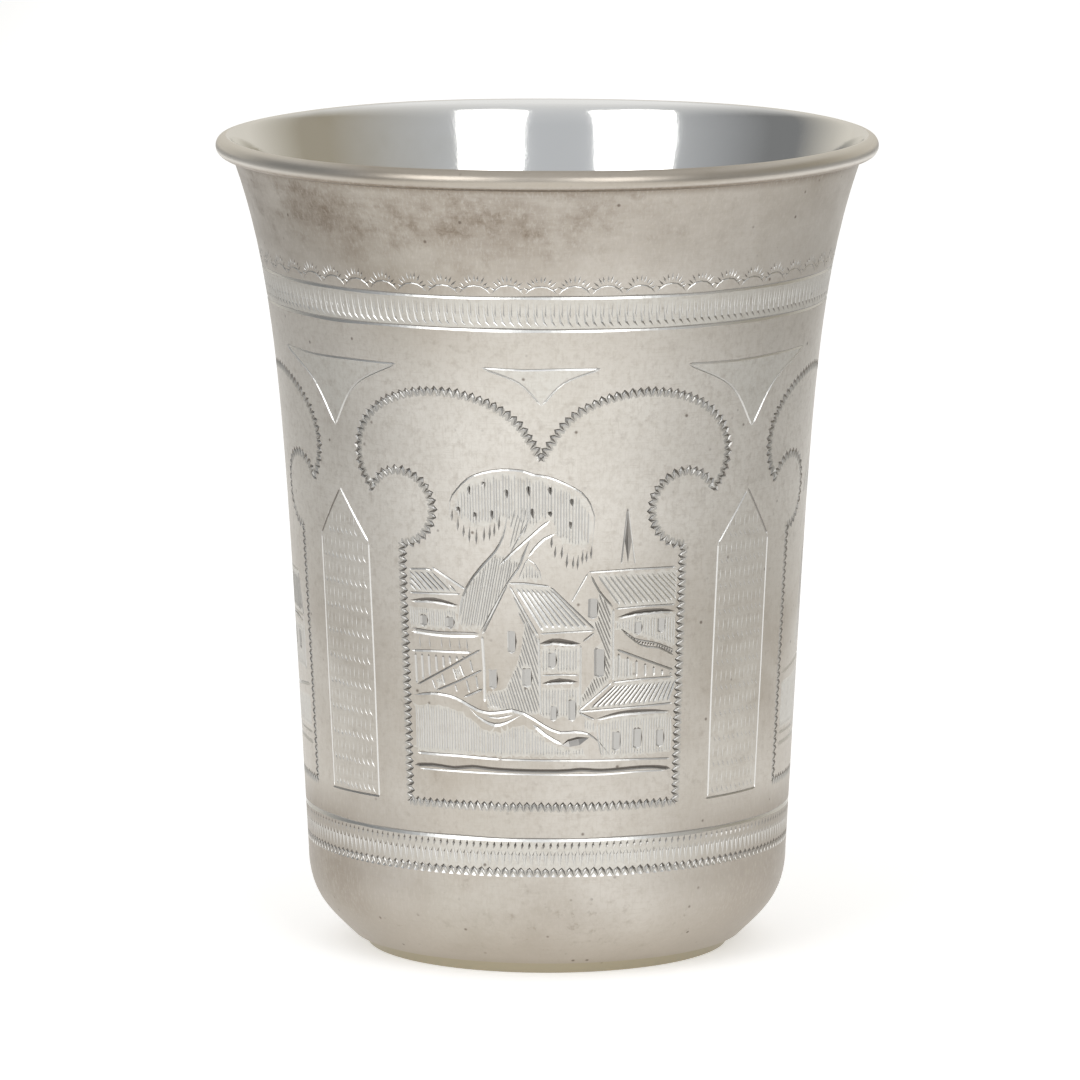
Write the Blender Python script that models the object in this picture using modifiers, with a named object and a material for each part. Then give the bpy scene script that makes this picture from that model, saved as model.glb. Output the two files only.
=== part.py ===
"""Small silver beaker with a rolled rim, a stepped foot and an engraved wall.

The cup is one turned shell of even sheet, cut with shallow engraved lines: two plain borders,
three arched panels with a village view, the pointed columns and spandrels between them, and
a plain reserve at the back. The front panel faces -Y.
"""

import math

import bmesh
import bpy
from mathutils import Vector

MM = 0.001

# Foot and heel
FOOT_HEIGHT = 1.25 * MM
FOOT_BOTTOM_RADIUS = 17.75 * MM
FOOT_TOP_RADIUS = 18.3 * MM
FOOT_EDGE = 0.25 * MM
HEEL_STEP = 0.9 * MM
HEEL_HEIGHT = 8.25 * MM
HEEL_LOWER_REACH = 2.3 * MM
HEEL_UPPER_REACH = 4.6 * MM

# Wall, measured from the top of the heel
SHEET = 0.6 * MM
WALL_RADIUS = 23.53 * MM
WALL_LEAN = 0.0535
NECK_FLARE = 3.69 * MM
FLARE_SHARPNESS = 5.9

# Rim bead and inner lip
BEAD_HEIGHT = 2.0 * MM
BEAD_OVERHANG = 1.55 * MM
BEAD_TUCK = math.radians(55)
LIP_DEPTH = 2.6 * MM

# Borders and panels, stacked up the wall one above another
LOWER_LINE_RISE = 1.5 * MM
LOWER_BORDER_HEIGHT = 3.3 * MM
PANEL_RISE = 3.1 * MM
PANEL_SIDE_HEIGHT = 25.5 * MM
NIB_RADIUS = 3.5 * MM
LOBE_RISE = 5.1 * MM
LOBE_HEIGHT = 6.4 * MM
SPANDREL_RISE = 2.55 * MM
UPPER_LINE_RISE = 3.75 * MM
UPPER_BORDER_HEIGHT = 3.2 * MM
NECK_HEIGHT = 10.78 * MM

# Widths along the wall, from the middle of each panel
PANEL_HALF_WIDTH = 14.35 * MM
LOBE_OVERHANG = 4.65 * MM
CUSP_HALF_GAP = 0.8 * MM
CUSP_SHOULDER = 0.6 * MM
PANEL_PERIOD = math.radians(100)
COLUMN_HALF_WIDTH = 3.75 * MM
COLUMN_SHAFT_HEIGHT = 25.1 * MM
COLUMN_POINT_HEIGHT = 4.8 * MM
CENTRE_SPANDREL = (5.4 * MM, 3.6 * MM)
SIDE_SPANDREL = (8.2 * MM, 6.8 * MM)
SPANDREL_SAG = 0.12
NIB_START = math.radians(-90)
NIB_END = math.radians(-320)
LOBE_START = math.radians(-28)
STROKE_GAP = 0.05
RESERVE_HALF_WIDTH = 7.6 * MM

# Engraved lines
LINE_RADIUS = 0.2 * MM
LINE_LIFT = 0.05 * MM
RING_HALF_WIDTH = 0.2 * MM
RING_DEPTH = 0.15 * MM

# Facets
TURN_STEPS = 48
FACET_OFFSET = math.radians(2.9)
CURVE_STEPS = 5
BEAD_STEPS = 6
LOBE_STEPS = 8
NIB_STEPS = 6
FLARE_ROWS = 4
LONGEST_TURN = math.radians(8.5)
LONGEST_RISE = 30.0 * MM
MERGE = 0.01 * MM
SHARP_ANGLE = math.radians(30)

# Heights above the table, worked out from the stack
HEEL_TOP = FOOT_HEIGHT + HEEL_HEIGHT
LOWER_LINE = HEEL_TOP + LOWER_LINE_RISE
LOWER_BORDER_TOP = LOWER_LINE + LOWER_BORDER_HEIGHT
PANEL_BOTTOM = LOWER_BORDER_TOP + PANEL_RISE
SPRING_LINE = PANEL_BOTTOM + PANEL_SIDE_HEIGHT
NIB_CENTRE = SPRING_LINE + NIB_RADIUS
LOBE_CENTRE = NIB_CENTRE + LOBE_RISE
SPANDREL_TOP = LOBE_CENTRE + LOBE_HEIGHT + SPANDREL_RISE
UPPER_LINE = SPANDREL_TOP + UPPER_LINE_RISE
UPPER_BORDER_TOP = UPPER_LINE + UPPER_BORDER_HEIGHT
WALL_TOP = UPPER_BORDER_TOP + NECK_HEIGHT
BEAD_HALF = BEAD_HEIGHT / 2
BEAD_CENTRE = WALL_TOP + BEAD_HALF * math.sin(BEAD_TUCK)
RIM_TOP = BEAD_CENTRE + BEAD_HALF


def wall_radius(height):
    """Outer radius of the wall: a straight lean that flares out towards the rim."""
    rise = max(height - HEEL_TOP, 0.0)
    share = rise / (WALL_TOP - HEEL_TOP)
    return WALL_RADIUS + WALL_LEAN * rise + NECK_FLARE * share ** FLARE_SHARPNESS


DRAWING_RADIUS = wall_radius(SPRING_LINE)


def bezier(start, start_handle, end_handle, end, steps):
    """Points along a cubic curve, its start left out."""
    points = []
    for step in range(1, steps + 1):
        t = step / steps
        s = 1 - t
        blend = (s ** 3, 3 * s * s * t, 3 * s * t * t, t ** 3)
        corners = (start, start_handle, end_handle, end)
        points.append(tuple(sum(w * c[axis] for w, c in zip(blend, corners)) for axis in (0, 1)))
    return points


def arc(centre, half_width, half_height, start, end, steps):
    """Points along an elliptical arc, both ends included."""
    angles = [start + (end - start) * step / steps for step in range(steps + 1)]
    return [(centre[0] + half_width * math.cos(a), centre[1] + half_height * math.sin(a)) for a in angles]


def heel_curve(inset):
    """The heel from the wall down to the foot, set in from the outer face by a distance."""
    top = (WALL_RADIUS, HEEL_TOP)
    bottom = (FOOT_TOP_RADIUS + HEEL_STEP, FOOT_HEIGHT)
    upper_handle = (WALL_RADIUS, HEEL_TOP - HEEL_UPPER_REACH)
    lower_handle = (bottom[0] + HEEL_LOWER_REACH, FOOT_HEIGHT + HEEL_LOWER_REACH)
    outer = [top] + bezier(top, upper_handle, lower_handle, bottom, CURVE_STEPS)
    points = []
    for index, (radius, height) in enumerate(outer):
        before = outer[max(index - 1, 0)]
        after = outer[min(index + 1, len(outer) - 1)]
        run = math.hypot(after[0] - before[0], after[1] - before[1])
        out_r = -(after[1] - before[1]) / run
        out_z = (after[0] - before[0]) / run
        points.append((radius - inset * out_r, height - inset * out_z))
    return points


def ring_groove(height):
    """Three profile points that cut a shallow V round the wall, from the top down."""
    above = height + RING_HALF_WIDTH
    below = height - RING_HALF_WIDTH
    return [(wall_radius(above), above), (wall_radius(height) - RING_DEPTH, height), (wall_radius(below), below)]


def flare_heights():
    """Wall rows between the upper border and the bead, closer together as the flare quickens."""
    room = WALL_TOP - UPPER_BORDER_TOP
    return [WALL_TOP - room * (1 - step / FLARE_ROWS) ** 0.8 for step in range(1, FLARE_ROWS)]


def outer_profile():
    """Outer side of the cup, from the bead's crest down to the middle of the underside."""
    overhang = BEAD_OVERHANG / (1 + math.cos(BEAD_TUCK))
    bead_radius = wall_radius(WALL_TOP) + overhang * math.cos(BEAD_TUCK)
    bead_end = -math.pi + BEAD_TUCK
    points = arc((bead_radius, BEAD_CENTRE), overhang, BEAD_HALF, math.pi / 2, bead_end, BEAD_STEPS)
    points += [(wall_radius(height), height) for height in reversed(flare_heights())]
    points += ring_groove(UPPER_BORDER_TOP) + ring_groove(UPPER_LINE)
    for height in (LOBE_CENTRE + LOBE_HEIGHT, LOBE_CENTRE, SPRING_LINE):
        points.append((wall_radius(height), height))
    points += ring_groove(LOWER_BORDER_TOP) + ring_groove(LOWER_LINE)
    points += heel_curve(0.0)
    points.append((FOOT_TOP_RADIUS, FOOT_HEIGHT))
    points.append((FOOT_BOTTOM_RADIUS, FOOT_EDGE))
    points.append((FOOT_BOTTOM_RADIUS - FOOT_EDGE, 0.0))
    points.append((0.0, 0.0))
    return points


def inner_profile():
    """Inner side, from the middle of the floor up to just below the bead's crest."""
    heel = heel_curve(SHEET)
    floor = heel[-1][1]
    points = [(0.0, floor)] + list(reversed(heel))
    for height in (SPRING_LINE, LOBE_CENTRE, UPPER_LINE, *flare_heights()[:-1]):
        points.append((wall_radius(height) - SHEET, height))
    lip_foot = RIM_TOP - LIP_DEPTH
    slope = (wall_radius(lip_foot) - wall_radius(lip_foot - MM)) / MM
    start = (wall_radius(lip_foot) - SHEET, lip_foot)
    rise = LIP_DEPTH * 0.55
    crest_radius = wall_radius(WALL_TOP) + BEAD_OVERHANG * math.cos(BEAD_TUCK) / (1 + math.cos(BEAD_TUCK))
    crest = (crest_radius, RIM_TOP)
    start_handle = (start[0] + slope * rise, lip_foot + rise)
    end_handle = (crest_radius - (crest_radius - start[0]) * 0.4, RIM_TOP)
    points.append(start)
    points += bezier(start, start_handle, end_handle, crest, CURVE_STEPS - 1)[:-1]
    return points


def wall_point(along, height, panel):
    """A point just proud of the wall, given by its distance along the wall and its height."""
    angle = panel + along / DRAWING_RADIUS
    radius = wall_radius(height) + LINE_LIFT
    return Vector((radius * math.sin(angle), -radius * math.cos(angle), height))


def laid_on_wall(points, panel):
    """A drawn line split finely enough to lie on the round wall."""
    path = [wall_point(points[0][0], points[0][1], panel)]
    for (a, low), (b, high) in zip(points, points[1:]):
        turns = abs(b - a) / DRAWING_RADIUS / LONGEST_TURN
        rises = abs(high - low) / LONGEST_RISE
        pieces = max(1, math.ceil(max(turns, rises)))
        for piece in range(1, pieces + 1):
            t = piece / pieces
            path.append(wall_point(a + (b - a) * t, low + (high - low) * t, panel))
    return path


def frame():
    """The arched frame as one closed line: foot, sides, round nibs, two lobes and the cusp between."""
    lobe_half = (PANEL_HALF_WIDTH + LOBE_OVERHANG - CUSP_HALF_GAP) / 2
    lobe = (CUSP_HALF_GAP + lobe_half, LOBE_CENTRE)
    nib = (PANEL_HALF_WIDTH, NIB_CENTRE)
    cusp_angle = math.acos((CUSP_SHOULDER - lobe_half) / lobe_half)
    right = [(0.0, PANEL_BOTTOM), (PANEL_HALF_WIDTH, PANEL_BOTTOM)]
    right += arc(nib, NIB_RADIUS, NIB_RADIUS, NIB_START, NIB_END, NIB_STEPS)
    right += arc(lobe, lobe_half, LOBE_HEIGHT, LOBE_START, cusp_angle, LOBE_STEPS)
    left = [(-along, height) for along, height in reversed(right)]
    return right + [(0.0, LOBE_CENTRE)] + left


def column(side):
    """Outline of the pointed column between two panels."""
    middle = side * PANEL_PERIOD / 2 * DRAWING_RADIUS
    shoulder = PANEL_BOTTOM + COLUMN_SHAFT_HEIGHT
    left = middle - COLUMN_HALF_WIDTH
    right = middle + COLUMN_HALF_WIDTH
    tip = (middle, shoulder + COLUMN_POINT_HEIGHT)
    return [(middle, PANEL_BOTTOM), (left, PANEL_BOTTOM), (left, shoulder), tip,
            (right, shoulder), (right, PANEL_BOTTOM), (middle, PANEL_BOTTOM)]


def spandrel(middle, size):
    """A hanging triangle whose two sides bow inwards, as the arches below it do."""
    half, drop = size
    left = (middle - half, SPANDREL_TOP)
    right = (middle + half, SPANDREL_TOP)
    tip = (middle, SPANDREL_TOP - drop)
    near = half * (0.5 - SPANDREL_SAG)
    waist = SPANDREL_TOP - drop * (0.5 - SPANDREL_SAG)
    return [left, right, (middle + near, waist), tip, (middle - near, waist), left]


def strokes(*lines):
    """Lines of a picture, whose places are shares of the panel's half width and side height."""
    return [[(x * PANEL_HALF_WIDTH, PANEL_BOTTOM + y * PANEL_SIDE_HEIGHT) for x, y in line] for line in lines]


def tree(root):
    """A leaning trunk that forks under a broad round crown, its foot hidden below a given share."""
    crown = arc((-0.14, 1.08), 0.49, 0.22, math.radians(178), math.radians(-42), LOBE_STEPS)
    left_edge = [(-0.57, root), (-0.51, 0.85), (-0.38, 0.94), (-0.26, 1.02), (-0.23, 1.15)]
    right_edge = [(-0.33, root + 0.11), (-0.18, 0.95), (-0.05, 1.02), (0.08, 1.07)]
    return strokes(crown, left_edge, right_edge)


def house(left, corner, right, foot, eave, apex, ridge_end):
    """A house seen from its corner: a gable end on the left and a long roof to the right."""
    gable = [(left, foot), (left, eave), apex, (corner, eave), (corner, foot)]
    roof = [(apex[0] + STROKE_GAP, apex[1]), (ridge_end, apex[1]), (right, eave), (corner + STROKE_GAP, eave)]
    return strokes(gable, roof)


def village():
    """The front panel's view: tree, houses, a spire, fences and the lie of the land."""
    lines = tree(0.71)
    lines += house(-0.41, -0.03, 0.36, 0.41, 0.665, (-0.23, 0.86), 0.05)
    centre_wall = [(0.27, 0.62), (0.27, 0.41)]
    belt = [(0.02, 0.53), (0.24, 0.51)]
    left_roof = [(-0.93, 0.90), (-0.75, 0.905), (-0.62, 0.85)]
    left_eave = [(-0.93, 0.80), (-0.60, 0.81)]
    left_foot = [(-0.93, 0.665), (-0.46, 0.67)]
    fence = [(-0.93, 0.59), (-0.46, 0.60)]
    path = [(-0.48, 0.565), (-0.90, 0.45)]
    right_gable = [(0.22, 0.81), (0.31, 0.91), (0.49, 0.765), (0.49, 0.53)]
    right_ridge = [(0.36, 0.91), (0.93, 0.91)]
    right_eave = [(0.54, 0.765), (0.93, 0.765)]
    hedge = [(0.55, 0.69), (0.93, 0.58)]
    low_roof = [(0.25, 0.37), (0.47, 0.48), (0.93, 0.485)]
    low_eave = [(0.36, 0.34), (0.93, 0.385)]
    low_wall = [(0.36, 0.30), (0.36, 0.22)]
    spire = [(0.53, 0.935), (0.58, 1.145), (0.64, 0.935)]
    ground = [(-0.93, 0.41), (-0.64, 0.41), (-0.42, 0.355), (-0.19, 0.365), (0.01, 0.30), (0.31, 0.285)]
    water = [(-0.93, 0.18), (0.93, 0.17)]
    return lines + strokes(
        centre_wall, belt, left_roof, left_eave, left_foot, fence, path, right_gable, right_ridge,
        right_eave, hedge, low_roof, low_eave, low_wall, spire, ground, water)


def side_view():
    """The plainer view on the two side panels: a tree, one house and the ground."""
    ground = [(-0.93, 0.42), (-0.30, 0.45), (0.20, 0.34), (0.93, 0.37)]
    water = [(-0.93, 0.18), (0.93, 0.18)]
    return tree(0.47) + house(0.05, 0.38, 0.86, 0.42, 0.63, (0.21, 0.80), 0.78) + strokes(ground, water)


def reserve():
    """The plain tablet at the back, with a single round head."""
    head = arc((0.0, SPRING_LINE), RESERVE_HALF_WIDTH, RESERVE_HALF_WIDTH, 0.0, math.pi, LOBE_STEPS)
    return [(0.0, PANEL_BOTTOM), (RESERVE_HALF_WIDTH, PANEL_BOTTOM)] + head + [
        (-RESERVE_HALF_WIDTH, PANEL_BOTTOM), (0.0, PANEL_BOTTOM)]


def engraved_lines():
    """Every drawn line with the angle of the panel that it is measured from."""
    lines = []
    for panel in (-PANEL_PERIOD, 0.0, PANEL_PERIOD):
        lines += [(frame(), panel), (spandrel(0.0, CENTRE_SPANDREL), panel)]
        view = village() if panel == 0.0 else side_view()
        lines += [(line, panel) for line in view]
    for panel, side in ((0.0, -1), (0.0, 1), (-PANEL_PERIOD, -1), (PANEL_PERIOD, 1)):
        middle = side * PANEL_PERIOD / 2 * DRAWING_RADIUS
        lines += [(column(side), panel), (spandrel(middle, SIDE_SPANDREL), panel)]
    lines.append((reserve(), math.pi))
    return lines


def new_collection(name):
    collection = bpy.data.collections.new(name)
    bpy.context.scene.collection.children.link(collection)
    return collection


def silver_material():
    material = bpy.data.materials.new("aged_silver")
    material.use_nodes = True
    shader = material.node_tree.nodes["Principled BSDF"]
    shader.inputs["Base Color"].default_value = (0.62, 0.58, 0.53, 1.0)
    shader.inputs["Metallic"].default_value = 1.0
    shader.inputs["Roughness"].default_value = 0.36
    return material


def turned_body(collection):
    """The hollow cup as a profile in the XZ plane, turned about Z."""
    profile = inner_profile() + outer_profile()
    mesh = bpy.data.meshes.new("beaker")
    edges = [(index, index + 1) for index in range(len(profile) - 1)]
    mesh.from_pydata([(radius, 0.0, height) for radius, height in profile], edges, [])
    body = bpy.data.objects.new("beaker", mesh)
    body.rotation_euler.z = FACET_OFFSET
    collection.objects.link(body)
    bpy.context.view_layer.update()
    screw = body.modifiers.new("turn", 'SCREW')
    screw.axis = 'Z'
    screw.steps = TURN_STEPS
    screw.render_steps = TURN_STEPS
    screw.use_merge_vertices = True
    screw.merge_threshold = MERGE
    return body


def line_cutter(name, lines, collection):
    """Thin round wires along the drawn lines, as one closed mesh that cuts the wall."""
    curve = bpy.data.curves.new(name, 'CURVE')
    curve.dimensions = '3D'
    curve.bevel_depth = LINE_RADIUS
    curve.bevel_resolution = 0
    curve.use_fill_caps = True
    for points, panel in lines:
        path = laid_on_wall(points, panel)
        spline = curve.splines.new('POLY')
        spline.use_cyclic_u = points[0] == points[-1]
        if spline.use_cyclic_u:
            path.pop()
        spline.points.add(len(path) - 1)
        for point, place in zip(spline.points, path):
            point.co = (*place, 1.0)
    wire = bpy.data.objects.new(name + "_wire", curve)
    collection.objects.link(wire)
    evaluated = wire.evaluated_get(bpy.context.evaluated_depsgraph_get())
    mesh = bpy.data.meshes.new_from_object(evaluated)
    shape = bmesh.new()
    shape.from_mesh(mesh)
    bmesh.ops.remove_doubles(shape, verts=shape.verts, dist=MERGE)
    shape.to_mesh(mesh)
    shape.free()
    cutter = bpy.data.objects.new(name, mesh)
    cutter.matrix_world = wire.matrix_world
    collection.objects.link(cutter)
    bpy.data.objects.remove(wire)
    bpy.data.curves.remove(curve)
    cutter.hide_render = True
    cutter.display_type = 'WIRE'
    return cutter


def engrave(body, cutter):
    cut = body.modifiers.new("engraving", 'BOOLEAN')
    cut.operation = 'DIFFERENCE'
    cut.solver = 'EXACT'
    cut.use_self = True
    cut.object = cutter


def settle_mesh(body):
    """Keeps the evaluated shape as the object's own mesh, smooth but for its real edges."""
    evaluated = body.evaluated_get(bpy.context.evaluated_depsgraph_get())
    mesh = bpy.data.meshes.new_from_object(evaluated)
    body.modifiers.clear()
    body.data = mesh
    mesh.shade_smooth()
    mesh.set_sharp_from_angle(angle=SHARP_ANGLE)


for old in list(bpy.data.objects):
    bpy.data.objects.remove(old)

beaker_parts = new_collection("silver_beaker")
cutters = new_collection("cutters")
beaker = turned_body(beaker_parts)
engrave(beaker, line_cutter("engraving_cutter", engraved_lines(), cutters))
settle_mesh(beaker)
beaker.data.materials.clear()
beaker.data.materials.append(silver_material())
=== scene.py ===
import math

import bpy
import numpy as np
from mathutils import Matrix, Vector
from mathutils.geometry import delaunay_2d_cdt


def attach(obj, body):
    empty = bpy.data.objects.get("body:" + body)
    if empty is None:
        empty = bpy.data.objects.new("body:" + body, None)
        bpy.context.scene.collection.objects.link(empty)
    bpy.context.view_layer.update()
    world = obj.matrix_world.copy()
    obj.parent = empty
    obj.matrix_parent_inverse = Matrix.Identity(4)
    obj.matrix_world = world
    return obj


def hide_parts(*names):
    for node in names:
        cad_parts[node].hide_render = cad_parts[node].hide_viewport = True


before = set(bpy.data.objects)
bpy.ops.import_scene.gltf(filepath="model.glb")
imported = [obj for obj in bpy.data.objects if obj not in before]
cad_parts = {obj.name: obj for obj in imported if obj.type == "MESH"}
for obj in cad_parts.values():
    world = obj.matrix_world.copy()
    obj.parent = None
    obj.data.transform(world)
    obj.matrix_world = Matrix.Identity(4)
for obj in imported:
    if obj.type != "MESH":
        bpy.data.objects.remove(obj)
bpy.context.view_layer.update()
mm = 0.001


cup = {  # the turned form, in millimetres and degrees; the profile is the solid's own
    "footHeight": 1.25, "footBottom": 17.75, "footTop": 18.3, "footEdge": 0.25,
    "heelStep": 0.9, "heelHeight": 8.25, "heelLowerReach": 2.3, "heelUpperReach": 4.6,
    "sheet": 0.6, "wallRadius": 23.53, "wallLean": 0.0535,
    "neckFlare": 3.69, "flareSharpness": 5.9, "wallTop": 78.18,
    "beadHeight": 2.0, "beadOverhang": 1.55, "beadTuck": 55, "lipDepth": 2.6,
    "springLine": 42.9,
    "engravedTop": 72.0,  # the drawn part of the wall runs from the heel to here
    "facets": 180, "wallRows": 29, "heelRows": 15,
    "neckRows": 9, "beadRows": 19, "lipRows": 10, "insideRows": 16,
    "underRings": (15.5, 12.0, 8.0, 4.0, 1.0), "floorRings": (16.5, 13.0, 9.0, 5.0, 1.5),
    # how uneven the old rim stands, and how far round each wave is turned; it fades out down the wall
    "evenBelow": 48, "unevenOver": 32,
    "rimTilt": 0.02, "rimWave": 0.02, "rimRipple": 0.1, "ripples": 5,
    "tiltTurn": 1.2, "waveTurn": 0.5, "rippleTurn": 0.4,
    "drawnIn": 0.0026, "outOfRound": 0.0005, "ovalTurn": 0.35,
}

heelTop = cup["footHeight"] + cup["heelHeight"]


def wallRadiusAt(height):
    rise = np.maximum(np.asarray(height, float) - heelTop, 0.0)
    share = rise / (cup["wallTop"] - heelTop)
    return cup["wallRadius"] + cup["wallLean"] * rise + cup["neckFlare"] * share ** cup["flareSharpness"]


drawingRadius = float(wallRadiusAt(cup["springLine"]))  # one mm along the drawing is one mm here
halfTurn = math.pi * drawingRadius


def smoothStep(value):
    t = np.clip(value, 0.0, 1.0)
    return t * t * (3 - 2 * t)


def bezier(corners, steps):
    t = np.linspace(0, 1, steps + 1)[:, None]
    a, b, c, d = (np.array(corner, float) for corner in corners)
    return (1 - t) ** 3 * a + 3 * (1 - t) ** 2 * t * b + 3 * (1 - t) * t * t * c + t ** 3 * d


def shaped(angle, radius, height):  # turned point to its place, with the rim's old unevenness
    top = smoothStep((height - cup["evenBelow"]) / cup["unevenOver"])
    sag = cup["rimTilt"] * (1 + np.cos(angle + cup["tiltTurn"]))
    sag = sag + cup["rimWave"] * (1 - np.cos(2 * (angle + cup["waveTurn"]))) / 2
    sag = sag + cup["rimRipple"] * (1 - np.cos(cup["ripples"] * angle + cup["rippleTurn"])) / 2
    pull = 1 - top * (cup["drawnIn"] + cup["outOfRound"] * (1 + np.cos(2 * (angle - cup["ovalTurn"]))))
    return np.stack((radius * pull * np.sin(angle), -radius * pull * np.cos(angle), height - top * sag), 1)


def heelCurve(inset):  # from the wall down to the foot, set in from the outer face
    bottom = cup["footTop"] + cup["heelStep"]
    corners = [(cup["wallRadius"], heelTop), (cup["wallRadius"], heelTop - cup["heelUpperReach"]),
               (bottom + cup["heelLowerReach"], cup["footHeight"] + cup["heelLowerReach"]),
               (bottom, cup["footHeight"])]
    outer = bezier(corners, cup["heelRows"])
    run = np.gradient(outer, axis=0)
    run /= np.linalg.norm(run, axis=1)[:, None]
    return outer - inset * np.stack((-run[:, 1], run[:, 0]), 1)


def lowerProfile():  # heel, foot and underside, from the wall down to the middle
    heel = heelCurve(0.0)
    foot = [(cup["footTop"] + 0.05, cup["footHeight"] - 0.02),
            (cup["footTop"], cup["footHeight"] - 0.1), (cup["footBottom"] + 0.3, 0.75),
            (cup["footBottom"] + 0.06, cup["footEdge"] + 0.08), (cup["footBottom"] - 0.06, 0.08),
            (cup["footBottom"] - cup["footEdge"], 0.0)]
    under = [(radius, 0.0) for radius in cup["underRings"]]
    return np.array([*heel, *foot, *under])


def upperProfile():  # neck, bead, lip and inside, from the drawn part up and over to the middle
    tuck = math.radians(cup["beadTuck"])
    half = cup["beadHeight"] / 2
    overhang = cup["beadOverhang"] / (1 + math.cos(tuck))
    beadRadius = float(wallRadiusAt(cup["wallTop"])) + overhang * math.cos(tuck)
    beadCentre = cup["wallTop"] + half * math.sin(tuck)
    rimTop = beadCentre + half
    neck = [(wallRadiusAt(h), h) for h in np.linspace(cup["engravedTop"], cup["wallTop"], cup["neckRows"])]
    bead = [(beadRadius + overhang * math.cos(a),
             beadCentre + half * math.sin(a)) for a in np.linspace(tuck - math.pi, math.pi / 2,
                                                                   cup["beadRows"])]
    lipFoot = rimTop - cup["lipDepth"]
    slope = float(wallRadiusAt(lipFoot) - wallRadiusAt(lipFoot - 1))
    start = (float(wallRadiusAt(lipFoot)) - cup["sheet"], lipFoot)
    rise = cup["lipDepth"] * 0.55
    lip = bezier([(beadRadius, rimTop), (beadRadius - (beadRadius - start[0]) * 0.4, rimTop),
                  (start[0] + slope * rise, lipFoot + rise), start], cup["lipRows"])
    inside = [(wallRadiusAt(h) - cup["sheet"], h) for h in np.linspace(lipFoot, heelTop,
                                                                       cup["insideRows"])[1:-1]]
    floor = heelCurve(cup["sheet"])
    middle = [(radius, floor[-1][1]) for radius in cup["floorRings"]]
    return np.array([*neck, *bead[1:], *lip[1:], *inside, *floor, *middle])


burin = {  # how the tool cuts, beside the width and tone of each stroke; sizes are shares of that stroke's
    "slimness": 0.82, "unevenWidth": (0.9, 1.1), "unsteadiness": 0.025, "longestStep": 1.1,
    "swelling": [(0, 0), (0.25, 0.75), (0.5, 1), (0.78, 0.7), (1, 0)],
    "hook": ((0.02, -0.3), (0.16, 0.3), (0.42, 0.52), (0.7, 0.24), (0.96, -0.42)),
    # the nick is a painted highlight
    "nick": ((0.14, -0.48), (0.42, -0.24), (0.7, -0.5)), "nickWidth": 0.46, "nickTone": 1.2,
    # the band behind the hooks takes painted shade
    "shadedBandReach": (0.5, -0.28), "shadedBandGrade": 2.0,
    "hookedWidth": 0.115, "leggedWidth": 0.135,
}


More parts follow.
